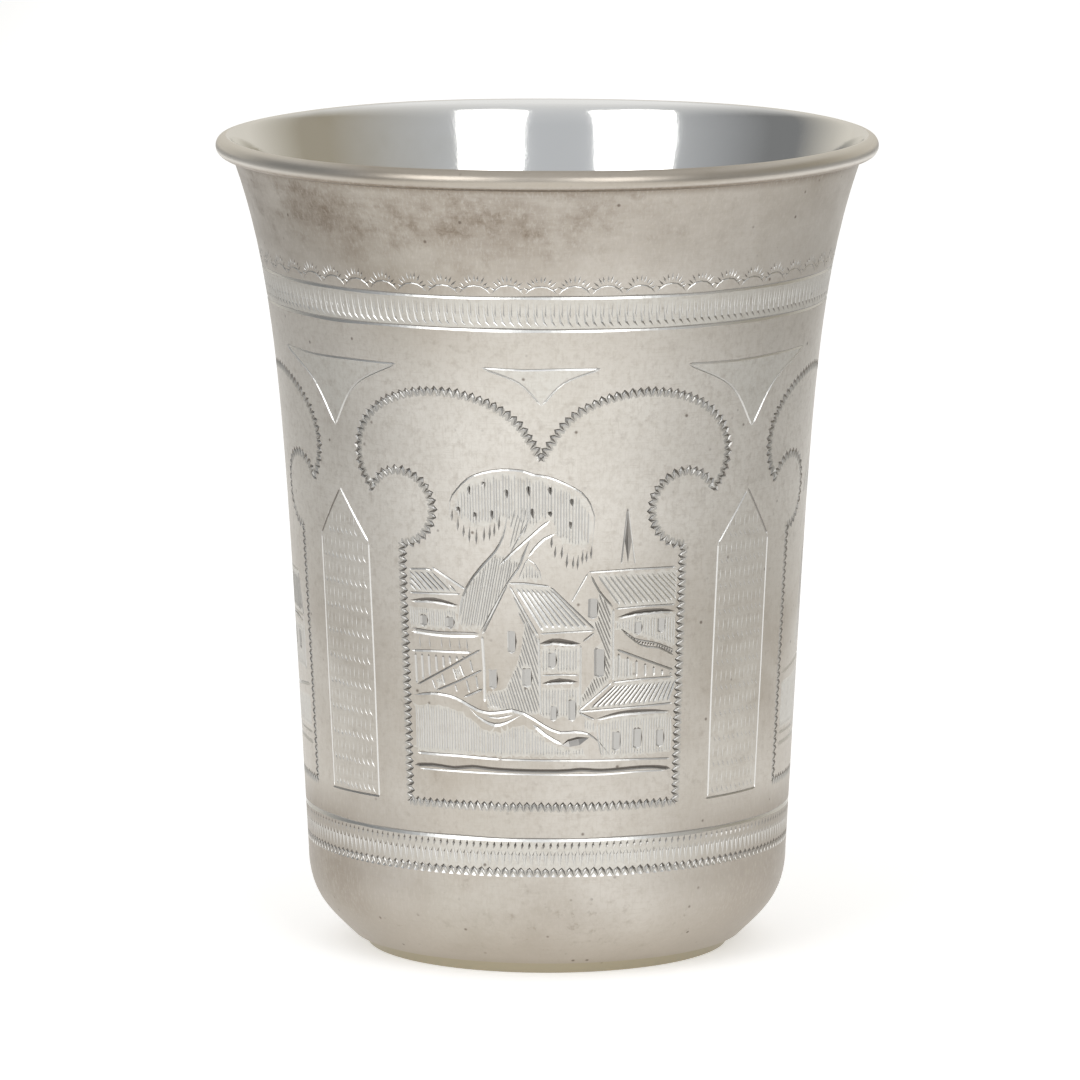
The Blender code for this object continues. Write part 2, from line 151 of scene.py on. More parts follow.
class Graver:  # collects V-shaped cuts on the unrolled wall, in mm along and up it
    def __init__(self, seed):
        self.cuts = []
        self.worked = []  # hatched fields and bands, each its loops and grade: up to 1 a painted sheen, above 1 painted shade laid on it too
        self.origin = np.zeros(2)
        self.hand = np.random.RandomState(seed)

    def moveTo(self, along, height):
        self.origin = np.array((along, height), float)

    # tone moves the painted shade and highlight on this cut's walls: below 0 darker, above 0 brighter
    def cut(self, points, width=0.3, depth=0.62, tips=(0.3, 0.3), lean=0.0, tone=0.0, shares=None,
            longest=burin["longestStep"]):
        points = np.array(points, float) + self.origin
        steps = np.linalg.norm(np.diff(points, axis=0), axis=1)
        reach = np.concatenate(([0.0], np.cumsum(steps)))
        length = reach[-1]
        if shares is None:
            near, far = (min(tip, 0.4 * length) for tip in tips)
            shares = [(0, 0), (near / length, 1), (1 - far / length, 1), (1, 0)]
        marks = np.array([share[0] for share in shares]) * length
        stations = np.union1d(np.round(reach, 4), np.round(marks, 4))
        filled = [stations[0]]
        for station in stations[1:]:
            if station - filled[-1] < 0.03 and station < stations[-1]:
                continue
            pieces = max(1, math.ceil((station - filled[-1]) / longest))
            filled += list(np.linspace(filled[-1], station, pieces + 1)[1:])
        stations = np.array(filled)
        path = np.stack([np.interp(stations, reach, points[:, axis]) for axis in (0, 1)], 1)
        swell = np.interp(stations / length, [s[0] for s in shares], [s[1] for s in shares])
        half = width / 2 * swell
        self.cuts.append((path, half, depth * half, lean, tone))

    def mark(self, points, swells, width, depth=0.62, lean=0.0, tone=0.0):  # a short cut, drawn as given
        half = width / 2 * np.array(swells, float)
        self.cuts.append((np.array(points, float) + self.origin, half, depth * half, lean, tone))

    def field(self, *outlines, grade=1.0):
        self.worked.append(([np.array(outline, float) + self.origin for outline in outlines], grade))

    def unsteady(self, points, amount=burin["unsteadiness"]):
        return np.array(points, float) + self.hand.uniform(-amount, amount, (len(points), 2))

    def line(self, points, width=0.3, tone=-0.3, lean=0.25, depth=0.7, tips=(0.3, 0.3)):
        points = self.unsteady(points)
        width = burin["slimness"] * width * self.hand.uniform(*burin["unevenWidth"])
        self.cut(points, width, depth, tips, lean, tone)

    def sweep(self, points, width=0.3, tone=-0.25, lean=0.25, depth=0.7, shares=None, step=0.8):
        self.cut(curveThrough(points, step), burin["slimness"] * width, depth, (0.5, 0.5), lean, tone,
                 shares)

    def crescent(self, points, width, tone=-1.2, lean=-0.3):  # painted shade, thick in the middle, with a painted highlight line below
        self.cut(curveThrough(points, 0.8), width * 0.92, 0.7, lean=lean, tone=tone,
                 shares=burin["swelling"])
        below = np.array(points, float) - (0, width * 0.46)
        below[[0, -1]] += ((0.2, width * 0.25), (-0.2, width * 0.25))
        self.cut(curveThrough(below, 0.9), 0.2, 0.7, (0.4, 0.4), 0.2, 0.3)

    def drop(self, top, bottom, width=0.44, tone=-1.1):  # heavy above, pointed below
        top, bottom = np.array(top, float), np.array(bottom, float)
        self.mark([top, top * 0.84 + bottom * 0.16, top * 0.58 + bottom * 0.42, bottom],
                  (0, 0.9, 0.85, 0), width, 0.7, 0.1, tone)

    def window(self, left, top, right, bottom, tone=-0.78):  # a sunk light with two sharper sides: painted shade over it and down its right side, a painted highlight along its foot
        middle = (left + right) / 2
        slant = self.hand.uniform(-0.04, 0.04)
        wide = right - left
        self.cut([(middle + slant, top), (middle, bottom)], wide, 0.3, (0.06, 0.06), -0.45, tone,
                 longest=3.0)
        self.mark([(left + 0.05, bottom), (middle, bottom - 0.1), (right - 0.05, bottom)], (0, 1, 0),
                  0.2, 0.7, 0.0, 0.3)
        self.mark([(right + 0.02, top - 0.1), (right + 0.06, (top + bottom) / 2),
                   (right, bottom + 0.1)], (0, 1, 0), 0.17, 0.8, 0.0, -1.3)

    def hatch(self, outlines, angle, pitch, width=0.15, depth=0.6, inset=0.08, loose=0.1, tone=-0.6):
        self.field(*outlines)
        turn = math.radians(angle - 90)  # rulings run upright once the shape is turned back
        c, s = math.cos(turn), math.sin(turn)
        back = np.array(((c, -s), (s, c)))
        shapes = [np.array(outline, float) @ back for outline in outlines]
        low = min(shape[:, 0].min() for shape in shapes)
        high = max(shape[:, 0].max() for shape in shapes)
        across = low + pitch * 0.6
        while across < high - pitch * 0.3:
            x = across + self.hand.uniform(-0.1, 0.1) * pitch
            crossings = []
            for shape in shapes:
                for a, b in zip(shape, np.roll(shape, -1, axis=0)):
                    if (a[0] > x) != (b[0] > x):
                        crossings.append(a[1] + (b[1] - a[1]) * (x - a[0]) / (b[0] - a[0]))
            crossings.sort()
            for start, end in zip(crossings[::2], crossings[1::2]):
                start += inset + self.hand.uniform(0, loose)
                end -= inset + self.hand.uniform(0, loose)
                if end - start > 0.35:
                    drift = self.hand.uniform(-0.12, 0.12) * pitch
                    ruling = np.array(((x, start), (x + drift, end))) @ back.T
                    self.cut(ruling, width * self.hand.uniform(0.8, 1.15), depth, (0.35, 0.35),
                             tone=tone, longest=3.0)
            across += pitch

    def pierced(self, outlines, lights, angle, pitch, width=0.14):  # a hatched wall and its windows
        self.hatch([*outlines, *(box(*light) for light in lights)], angle, pitch, width)
        for light in lights:
            self.window(*light)

    def fan(self, ridge, eave, count, width=0.2, tone=-0.6, limit=13.7):  # roof seams from ridge to eave
        ridge, eave = np.array(ridge, float), np.array(eave, float)
        self.field([ridge[0], ridge[1], np.minimum(eave[1], (limit, eave[1][1])), eave[0]])
        for index in range(count):
            t = (index + 0.5) / count
            top = ridge[0] + (ridge[1] - ridge[0]) * t
            foot = eave[0] + (eave[1] - eave[0]) * t
            reach = self.hand.uniform(0.93, 0.98)
            if foot[0] > limit:
                reach = min(reach, (limit - top[0]) / (foot[0] - top[0]))
            seam = self.unsteady([top + (foot - top) * 0.05, top + (foot - top) * reach], 0.02)
            bold = width * self.hand.uniform(*burin["unevenWidth"])
            self.cut(seam, bold, 0.62, (0.5, 0.3), 0.2, tone, longest=2.0)

    def wriggle(self, path, size, pitch, width, tone=-0.85):  # leaning hooks in painted shade, with a painted highlight nick under each
        path = np.array(path, float)
        steps = np.linalg.norm(np.diff(path, axis=0), axis=1)
        reach = np.concatenate(([0.0], np.cumsum(steps)))
        hooks = max(1, round(reach[-1] / pitch))
        pitch = reach[-1] / hooks

        def at(distance, side):
            here = np.array([np.interp(distance, reach, path[:, axis]) for axis in (0, 1)])
            probe = min(max(distance, 0.02), reach[-1] - 0.02)
            ahead = np.array([np.interp(probe + 0.02, reach, path[:, axis]) for axis in (0, 1)])
            behind = np.array([np.interp(probe - 0.02, reach, path[:, axis]) for axis in (0, 1)])
            run = (ahead - behind) / np.linalg.norm(ahead - behind)
            return here + side * np.array((-run[1], run[0]))

        above, below = burin["shadedBandReach"]
        sides = np.linspace(0, reach[-1], max(2, round(reach[-1] / 1.4)))
        shadedBand = [at(distance, size * above) for distance in sides]
        shadedBand += [at(distance, size * below) for distance in sides[::-1]]
        self.field(shadedBand, grade=burin["shadedBandGrade"])
        for index in range(hooks):
            swing = size * self.hand.uniform(0.92, 1.08)
            shift = self.hand.uniform(-0.03, 0.03)
            curl = [at((index + along + shift) * pitch, side * swing) for along, side in burin["hook"]]
            bold = width * self.hand.uniform(*burin["unevenWidth"])
            self.mark(curl, (0, 0.9, 1, 0.8, 0), bold, 0.75, 0.1, tone)
            self.mark([at((index + along) * pitch, side * size) for along, side in burin["nick"]],
                      (0, 1, 0), size * burin["nickWidth"], 0.5, 0.3, burin["nickTone"])

    def zigzagBand(self, start, end, low, high, pitch, hooked):  # upright fill of a border
        count = max(1, round((end - start) / pitch))
        pitch = (end - start) / count
        width = burin["hookedWidth"] if hooked else burin["leggedWidth"]
        top, foot, tall = high - 0.18, low + 0.18, high - low
        middle = (top + foot) / 2
        self.field(box(start, high, end, low))
        for index in range(count):
            x = start + index * pitch
            waist = x + pitch * 0.5 + self.hand.uniform(-0.05, 0.05)
            if hooked:  # fine above, with a bright hook at the foot
                strokes = (([(x + 0.1 * pitch, top), (x + 0.16 * pitch, middle),
                             (x + 0.34 * pitch, foot + tall * 0.16), (x + 0.86 * pitch, foot)],
                            (0, 0.6, 1, 0), 1.8, 0.7, 0.2, -0.2),
                           ([(waist + 0.04, top - 0.08), (waist, middle),
                             (waist + 0.08, foot + tall * 0.3)], (0, 1, 0), 1.3, 0.7, 0.0, -0.5))
            else:  # a short dark tick at the top and two legs that meet below
                strokes = (([(x + 0.3 * pitch, top + 0.12), (x + 0.22 * pitch, top - 0.25),
                             (x + 0.1 * pitch, top - 0.62)], (0, 1, 0), 2.1, 0.8, 0.0, -1.0),
                           ([(x + 0.1 * pitch, top - 0.7), (x + 0.3 * pitch, middle),
                             (waist, foot + 0.06)], (0, 1, 0), 1.4, 0.7, 0.0, -0.3),
                           ([(waist + 0.06, foot + 0.1), (x + 0.72 * pitch, middle),
                             (x + pitch * 0.94, top - 0.8)], (0, 1, 0), 1.3, 0.7, 0.0, -0.5))
            for points, swells, thickness, *cutting in strokes:
                self.mark(points, swells, width * thickness, *cutting)


def curveThrough(points, step):  # a smooth line through a few chosen points
    points = np.array(points, float)
    if len(points) < 3:
        return points
    padded = np.vstack((2 * points[0] - points[1], points, 2 * points[-1] - points[-2]))
    line = [points[0]]
    for index in range(1, len(padded) - 2):
        a, b, c, d = padded[index - 1:index + 3]
        count = max(1, round(float(np.linalg.norm(c - b)) / step))
        for part in range(1, count + 1):
            t = part / count
            line.append(0.5 * (2 * b + (c - a) * t + (2 * a - 5 * b + 4 * c - d) * t * t
                               + (3 * b - a - 3 * c + d) * t ** 3))
    return np.array(line)


def box(left, top, right, bottom):
    return [(left, top), (right, top), (right, bottom), (left, bottom)]


def arc(centre, halfWidth, halfHeight, start, end, steps):  # degrees
    angles = np.radians(np.linspace(start, end, steps + 1))
    return [(centre[0] + halfWidth * math.cos(a), centre[1] + halfHeight * math.sin(a)) for a in angles]


layout = {  # borders and frames, in mm and degrees; heights are measured up the wall
    "lowerLine": 11.0, "lowerBorderTop": 14.3, "panelFoot": 17.4, "nibRadius": 3.5, "lobeRise": 5.1,
    "lobeHeight": 6.4, "nibTurn": (-90, -328, 26), "lobeStart": -35, "lobeSteps": 34,
    "spandrelTop": 60.45, "upperLine": 64.2, "upperBorderTop": 67.4,
    "panelHalfWidth": 14.35, "lobeOverhang": 4.65, "cuspHalfGap": 0.8, "cuspShoulder": 0.6,
    "panelPeriod": 100, "columnHalfWidth": 3.75, "columnShaft": 25.1, "columnPoint": 4.8,
    "centreSpandrel": (5.4, 3.6), "sideSpandrel": (8.2, 6.8), "reserveHalfWidth": 7.6, "seamGap": 0.05,
    "wriggleSize": 0.84, "wrigglePitch": 0.73, "wriggleWidth": 0.3,
    "bandPitch": 0.73, "columnRows": 10, "columnPitch": 0.7, "columnStroke": 0.17, "columnGrade": 0.4,
    "lowerWriggle": (0.74, 0.84, 0.27),  # size, pitch and width of the edge under the lower border
    "scallopPitch": 2.9, "scallopTicks": 9, "scallopTickTurn": 17, "scallopRise": 0.35,
    "scallopArch": (
        (-0.48, 0.0), (-0.37, 0.5), (-0.2, 0.88), (0.0, 1.0), (0.2, 0.88), (0.37, 0.5), (0.48, 0.0)),
}
periodAlong = math.radians(layout["panelPeriod"]) * drawingRadius


def borderLine(graver, height, width, lean, phase):  # runs all round and meets itself at the back
    graver.moveTo(0, height)
    angles = np.linspace(-math.pi, math.pi, cup["facets"] + 1)
    drift = sum(0.035 / k * np.sin(k * 3 * angles + phase * k) for k in (1, 2, 3, 5))
    swell = 1 + 0.13 * np.sin(7 * angles + phase) + 0.1 * np.sin(19 * angles + 2 * phase)
    drift[-1], swell[-1] = drift[0], swell[0]
    path = np.stack((angles * drawingRadius, drift + height), 1)
    half = width / 2 * swell
    graver.cuts.append((path, half, 0.62 * half, lean, 0.0))


def scallop(graver, along, pitch):  # one small arch with a fan of ticks over it
    graver.moveTo(along, layout["upperBorderTop"] + layout["scallopRise"])
    height = 0.85 + graver.hand.uniform(-0.06, 0.06)
    graver.mark([(pitch * x, height * y) for x, y in layout["scallopArch"]], (0, 0.9, 1, 1, 1, 0.9, 0),
                0.14, 0.7, 0.1, -0.15)
    centreTick = (layout["scallopTicks"] - 1) / 2
    for tick in range(layout["scallopTicks"]):
        sway = graver.hand.uniform(-3, 3)
        turn = math.radians(90 + (tick - centreTick) * layout["scallopTickTurn"] + sway)
        near, far = 1.2, 1.95 + graver.hand.uniform(-0.12, 0.14)
        reach = [(r * math.cos(turn) * 0.82, -0.05 + r * math.sin(turn)) for r in (near, far)]
        middle = (reach[0][0] * 0.6 + reach[1][0] * 0.4, reach[0][1] * 0.6 + reach[1][1] * 0.4)
        graver.mark([reach[0], middle, reach[1]], (0, 1, 0), 0.18, 0.7, tone=-0.3)


def borders(graver):
    borderLine(graver, layout["upperBorderTop"], 0.34, 0.2, 0.4)
    borderLine(graver, layout["upperLine"], 0.36, 0.2, 2.1)
    borderLine(graver, layout["lowerBorderTop"], 0.42, 0.3, 4.0)
    graver.moveTo(0, 0)
    graver.zigzagBand(-halfTurn, halfTurn, layout["upperLine"] + 0.15, layout["upperBorderTop"] - 0.1,
                      layout["bandPitch"], True)
    graver.zigzagBand(-halfTurn, halfTurn, layout["lowerLine"] + 0.35, layout["lowerBorderTop"] - 0.15,
                      layout["bandPitch"], False)
    nearSeam = halfTurn - layout["seamGap"]
    graver.wriggle([(-nearSeam, layout["lowerLine"]), (nearSeam, layout["lowerLine"])],
                   *layout["lowerWriggle"])
    count = round(2 * halfTurn / layout["scallopPitch"])
    pitch = 2 * halfTurn / count
    for index in range(count):
        scallop(graver, -halfTurn + (index + 0.5) * pitch, pitch)


def mirrored(run):
    return [(-x, y) for x, y in reversed(run)]


def frameEdge(graver, run):
    graver.wriggle(run, layout["wriggleSize"], layout["wrigglePitch"], layout["wriggleWidth"])


def archedFrame(graver, middle):  # foot, sides, round nibs, and two lobes with the cusp between
    half, foot, spring = layout["panelHalfWidth"], layout["panelFoot"], cup["springLine"]
    nibCentre = spring + layout["nibRadius"]
    cusp = nibCentre + layout["lobeRise"]
    lobeHalf = (half + layout["lobeOverhang"] - layout["cuspHalfGap"]) / 2
    cuspAngle = math.degrees(math.acos((layout["cuspShoulder"] - lobeHalf) / lobeHalf))
    side = [(half, foot), (half, spring)]
    nib = arc((half, nibCentre), layout["nibRadius"], layout["nibRadius"], *layout["nibTurn"])
    lobe = arc((layout["cuspHalfGap"] + lobeHalf, cusp), lobeHalf, layout["lobeHeight"],
               layout["lobeStart"], cuspAngle, layout["lobeSteps"])
    graver.moveTo(middle, 0)
    for run in (side, nib, [(0, cusp)] + lobe[::-1]):
        frameEdge(graver, run)
        frameEdge(graver, mirrored(run))
    frameEdge(graver, [(-half, foot), (half, foot)])


def column(graver, middle):  # a pointed shaft filled with short rocked rows
    graver.moveTo(middle, layout["panelFoot"])
    half, shaft, point = layout["columnHalfWidth"], layout["columnShaft"], layout["columnPoint"]
    rows, grade = layout["columnRows"], layout["columnGrade"]
    graver.field([(-half, shaft), (0, shaft + point), (half, shaft)], grade=grade)
    graver.line([(-half, 0.1), (-half - 0.06, shaft * 0.4), (-half + 0.08, shaft)], 0.25)
    graver.line([(half, shaft), (half + 0.07, shaft * 0.5), (half, 0.0)], 0.27)
    graver.line([(-half, shaft - 0.1), (-0.05, shaft + point)], 0.24)
    graver.line([(0.05, shaft + point + 0.2), (half, shaft)], 0.27, -0.1)
    graver.line([(-half - 0.3, 0.0), (half + 0.1, 0.05)], 0.24)
    rowHeight = shaft / rows
    for row in range(rows + 1):
        inner = half - 0.35 if row < rows else half * 0.62  # the last row stands in the point
        foot = 0.3 + row * rowHeight
        if row < rows:
            graver.field(box(-half, foot + rowHeight, half, foot), grade=grade)
        count = round(2 * inner / layout["columnPitch"])
        for index in range(count):
            x = -inner + (index + 0.2) * 2 * inner / count
            drop = graver.hand.uniform(-0.06, 0.06)
            bold = layout["columnStroke"] * graver.hand.uniform(0.8, 1.15)
            graver.mark([(x, foot + 0.8 + drop), (x + 0.14, foot + 0.4 + drop),
                         (x + 0.42, foot + 0.05 + drop)], (0, 1, 0), bold, 0.6, 0.1, -0.15)
            graver.mark([(x + 0.06, foot + rowHeight * 0.9), (x + 0.03, foot + 1.6), (x, foot + 0.95)],
                        (0, 1, 0), bold * 0.55, 0.6, 0.0, -0.45)


def spandrel(graver, middle, size, bowed=(1, 1)):
    half, drop = size
    graver.moveTo(middle, layout["spandrelTop"])
    graver.field([(-half, 0), (half, 0), (half * 0.4, -drop * 0.4), (0, -drop),
                  (-half * 0.4, -drop * 0.4)])
    graver.line([(-half, 0.05), (-half * 0.3, -0.12), (half * 0.4, -0.02), (half, 0.0)], 0.26, 0.1, 0.3)
    for side, bow in zip((-1, 1), bowed):
        near = half * (0.5 - 0.12 * bow)
        waist = -drop * (0.5 - 0.12 * bow)
        edge = [(side * half, 0.0), (side * near, waist), (0.0, -drop)]
        graver.sweep(edge if side > 0 else edge[::-1], 0.26, 0.3, 0.2 if side > 0 else 0.3)


def reserve(graver):  # plain tablet at the back; its two halves stop just short of the mesh's seam
    half, gap = layout["reserveHalfWidth"], layout["seamGap"]
    right = [(gap, layout["panelFoot"]), (half, layout["panelFoot"])]
    right += arc((gap, cup["springLine"]), half - gap, half, 0, 90, 12)
    graver.moveTo(-halfTurn, 0)
    frameEdge(graver, right)
    graver.moveTo(halfTurn, 0)
    frameEdge(graver, mirrored(right))


# the village view, in mm from the panel's middle and up from its foot
def leftHouse(graver):
    graver.line([(-13.6, 22.96), (-11.63, 23.1), (-10.9, 23.0)], 0.24)
    graver.line([(-11.0, 23.35), (-7.5, 21.35)], 0.3)
    graver.hatch([[(-13.6, 22.85), (-10.95, 22.9), (-8.1, 21.0), (-13.6, 20.75)]], -42.7, 0.43, 0.25,
                 0.62, 0.05, 0.05)
    graver.line([(-13.6, 20.67), (-8.04, 20.88)], 0.22)
    graver.crescent([(-13.6, 19.9), (-10.9, 20.12), (-8.2, 19.75)], 0.5)
    lights = [(-12.49, 18.53, -11.68, 17.6), (-9.6, 18.51, -8.84, 17.55)]
    graver.pierced([box(-13.6, 19.4, -8.45, 17.3)], lights, 90, 0.25)
    graver.sweep([(-13.5, 17.15), (-10.57, 16.98), (-8.4, 17.05), (-6.2, 17.1)], 0.26, tone=-1.1)
    graver.sweep([(-13.5, 16.85), (-10.57, 16.7), (-8.4, 16.72), (-6.2, 16.85)], 0.34, tone=0.3, lean=0.4)


def tree(graver):
    leftEdge = [(-8.36, 17.3), (-8.21, 18.82), (-7.81, 20.64), (-6.96, 22.26), (-5.67, 23.88),
                (-4.52, 25.16), (-3.72, 26.64), (-3.37, 28.22), (-3.13, 29.7)]
    rightEdge = [(-6.12, 17.2), (-5.06, 18.96), (-3.38, 22.05), (-2.3, 23.53), (-1.85, 24.66),
                 (-1.29, 26.01), (-0.96, 26.69)]
    graver.sweep(leftEdge[::-1], 0.34, tone=-0.2, lean=-0.3,
                 shares=[(0, 0), (0.2, 0.7), (0.5, 1), (0.8, 0.8), (1, 0)])
    graver.sweep(rightEdge, 0.32, tone=-0.3, shares=[(0, 0), (0.15, 1), (0.5, 0.7), (0.8, 1), (1, 0)])
    graver.sweep([(-4.08, 23.83), (-3.07, 24.86), (-1.18, 26.58), (-0.08, 27.59), (0.84, 28.3)], 0.34,
                 lean=0.3)
    graver.sweep([(-1.3, 24.67), (-0.75, 25.46), (0.24, 26.47), (1.28, 26.98)], 0.34, lean=0.3)
    graver.sweep([(-3.07, 24.98), (-2.0, 26.9), (-1.28, 28.26), (-1.22, 29.72)], 0.16)
    bark = leftEdge[1:6] + [(-3.5, 25.0), (-1.9, 24.3)] + rightEdge[3:0:-1] + [(-6.0, 17.4), (-8.1, 17.4)]
    graver.hatch([bark], 79, 0.24, 0.14, inset=0.18, loose=0.3)
    graver.hatch([[(-3.1, 25.2), (-1.0, 27.0), (-1.4, 29.6), (-3.0, 29.6)]], 76, 0.34, 0.12, loose=0.6)
    graver.sweep([(-2.3, 22.4), (-1.3, 24.5), (-0.2, 23.3), (0.0, 22.4)], 0.12)
    graver.hatch([[(-2.2, 22.4), (-1.3, 24.4), (-0.2, 23.2), (-0.1, 22.4)]], 90, 0.28, 0.12)
    crown = [(-8.86, 28.1), (-8.91, 29.89), (-8.26, 30.99), (-7.09, 32.17), (-5.71, 32.79),
             (-3.75, 33.18), (-1.7, 33.08), (-0.63, 32.71), (0.56, 32.53), (2.0, 31.96), (3.81, 30.94),
             (4.68, 29.74), (5.06, 28.61), (4.9, 26.62), (4.8, 24.6)]
    graver.sweep(crown, 0.3, lean=0.35, shares=[(0, 0), (0.12, 0.6), (0.3, 1), (0.6, 1), (0.75, 0.6),
                                                (1, 0)])
    leaves = [(-8.5, 28.9), (-8.5, 29.8), (-7.9, 30.9), (-6.9, 31.9), (-5.6, 32.5), (-3.7, 32.9),
              (-1.7, 32.8), (0.5, 32.2), (2.0, 31.6), (3.6, 30.7), (4.4, 29.6), (4.75, 28.5),
              (4.6, 25.7), (3.0, 25.5), (1.5, 26.6), (1.3, 27.1), (0.9, 28.6), (-1.0, 27.4),
              (-2.9, 28.2), (-3.5, 28.2), (-4.1, 27.9), (-6.3, 27.3), (-7.9, 28.1)]
    graver.hatch([leaves], 90, 0.29, 0.14, 0.5, 0.05, 0.5)
    upper = ((-6.92, 31.49, 30.5), (-5.51, 31.98, 31.2), (-3.35, 31.3, 30.35), (-1.23, 31.65, 30.6),
             (0.8, 31.54, 30.7), (2.85, 30.4, 29.6))
    lower = ((-8.05, 29.44, 28.4), (-6.41, 28.96, 28.05), (-4.78, 29.21, 28.2), (-0.88, 29.47, 28.4),
             (0.81, 29.17, 28.6), (2.72, 28.16, 27.4))
    for across, top, foot in upper + lower:
        graver.drop((across - 0.05, top), (across + 0.1, foot), 0.5)
    tips = ((-8.75, 27.9), (-8.17, 27.0), (-7.61, 26.4), (-7.04, 25.95), (-6.34, 25.75), (-5.58, 26.05),
            (-5.02, 26.2), (-4.57, 26.6), (-4.1, 27.2), (0.93, 25.56), (1.27, 24.56), (1.91, 24.5),
            (2.4, 23.55), (3.0, 23.5), (3.45, 23.4), (3.9, 23.9), (4.3, 24.1), (4.75, 24.4))
    for across, foot in tips:
        tall = graver.hand.uniform(1.2, 1.7)
        graver.mark([(across + 0.08, foot + tall), (across + 0.02, foot + tall * 0.4), (across, foot)],
                    (0, 1, 0), 0.25, 0.75, tone=-0.9)


def spire(graver):
    graver.line([(8.28, 29.3), (7.75, 23.8)], 0.2, tone=-0.8)
    graver.line([(8.3, 29.3), (9.15, 23.7)], 0.16)
    graver.mark([(8.3, 29.0), (8.35, 26.4), (8.45, 23.9)], (0, 1, 0.4), 0.7, 0.5, 0.2, -1.2)


def centreHouse(graver):
    graver.line([(-5.9, 17.0), (-3.33, 22.1)], 0.32, lean=-0.1)
    graver.line([(-3.25, 22.1), (-1.62, 22.1), (0.82, 21.8)], 0.26)
    graver.line([(-3.15, 21.9), (-0.3, 16.95)], 0.2)
    graver.line([(-5.9, 16.9), (-5.75, 13.6), (-5.71, 10.3)], 0.34)
    graver.line([(-0.28, 16.9), (-0.2, 13.0), (-0.08, 9.2)], 0.26)
    graver.line([(0.82, 21.8), (3.2, 19.5), (5.25, 17.5)], 0.24)
    graver.line([(-0.2, 17.2), (2.19, 17.35), (5.2, 17.42)], 0.24)
    graver.fan([(-2.85, 21.95), (0.75, 21.75)], [(-0.1, 17.4), (4.95, 17.5)], 8, 0.26, 0.05)
    graver.hatch([[(-3.0, 21.6), (-0.4, 17.0), (-0.3, 16.2), (-2.1, 18.6)]], 118, 0.3, 0.14)
    graver.crescent([(-0.3, 16.2), (1.09, 16.5), (2.47, 16.36), (3.85, 16.2)], 0.62, tone=-0.95)
    graver.line([(5.2, 17.25), (4.0, 16.35)], 0.26)
    lights = [(-3.37, 17.44, -2.6, 15.4), (-5.24, 13.53, -4.48, 11.85), (-1.94, 13.76, -1.05, 12.1)]
    shade = [(-0.35, 16.7), (-0.15, 9.2), (-2.2, 9.1), (-5.5, 9.7), (-5.55, 11.4), (-3.7, 11.8),
             (-2.4, 14.5), (-1.6, 18.6), (-2.2, 19.9)]
    graver.hatch([shade, box(*lights[2])], 108, 0.29, 0.15, 0.6, 0.06, 0.12)
    for light in lights:
        graver.window(*light)
    graver.line([(-3.35, 17.4), (-3.32, 15.5)], 0.16)
    graver.line([(3.8, 16.1), (3.83, 9.9)], 0.26)
    front = [box(0.0, 15.9, 3.65, 13.35), box(0.05, 12.0, 3.65, 8.9)]
    openings = [box(0.61, 15.29, 1.37, 13.91), box(0.83, 9.95, 1.46, 8.9), box(2.64, 10.66, 3.35, 8.9)]
    graver.hatch(front + openings, 90, 0.29, 0.15)
    graver.window(0.61, 15.29, 1.37, 13.91)
    graver.window(0.83, 10.1, 1.46, 8.74)
    graver.window(2.64, 10.66, 3.35, 8.72)
    graver.line([(0.0, 13.1), (1.9, 13.2), (3.65, 13.12)], 0.2)
    graver.crescent([(0.0, 12.33), (1.79, 12.6), (3.6, 12.45)], 0.52)


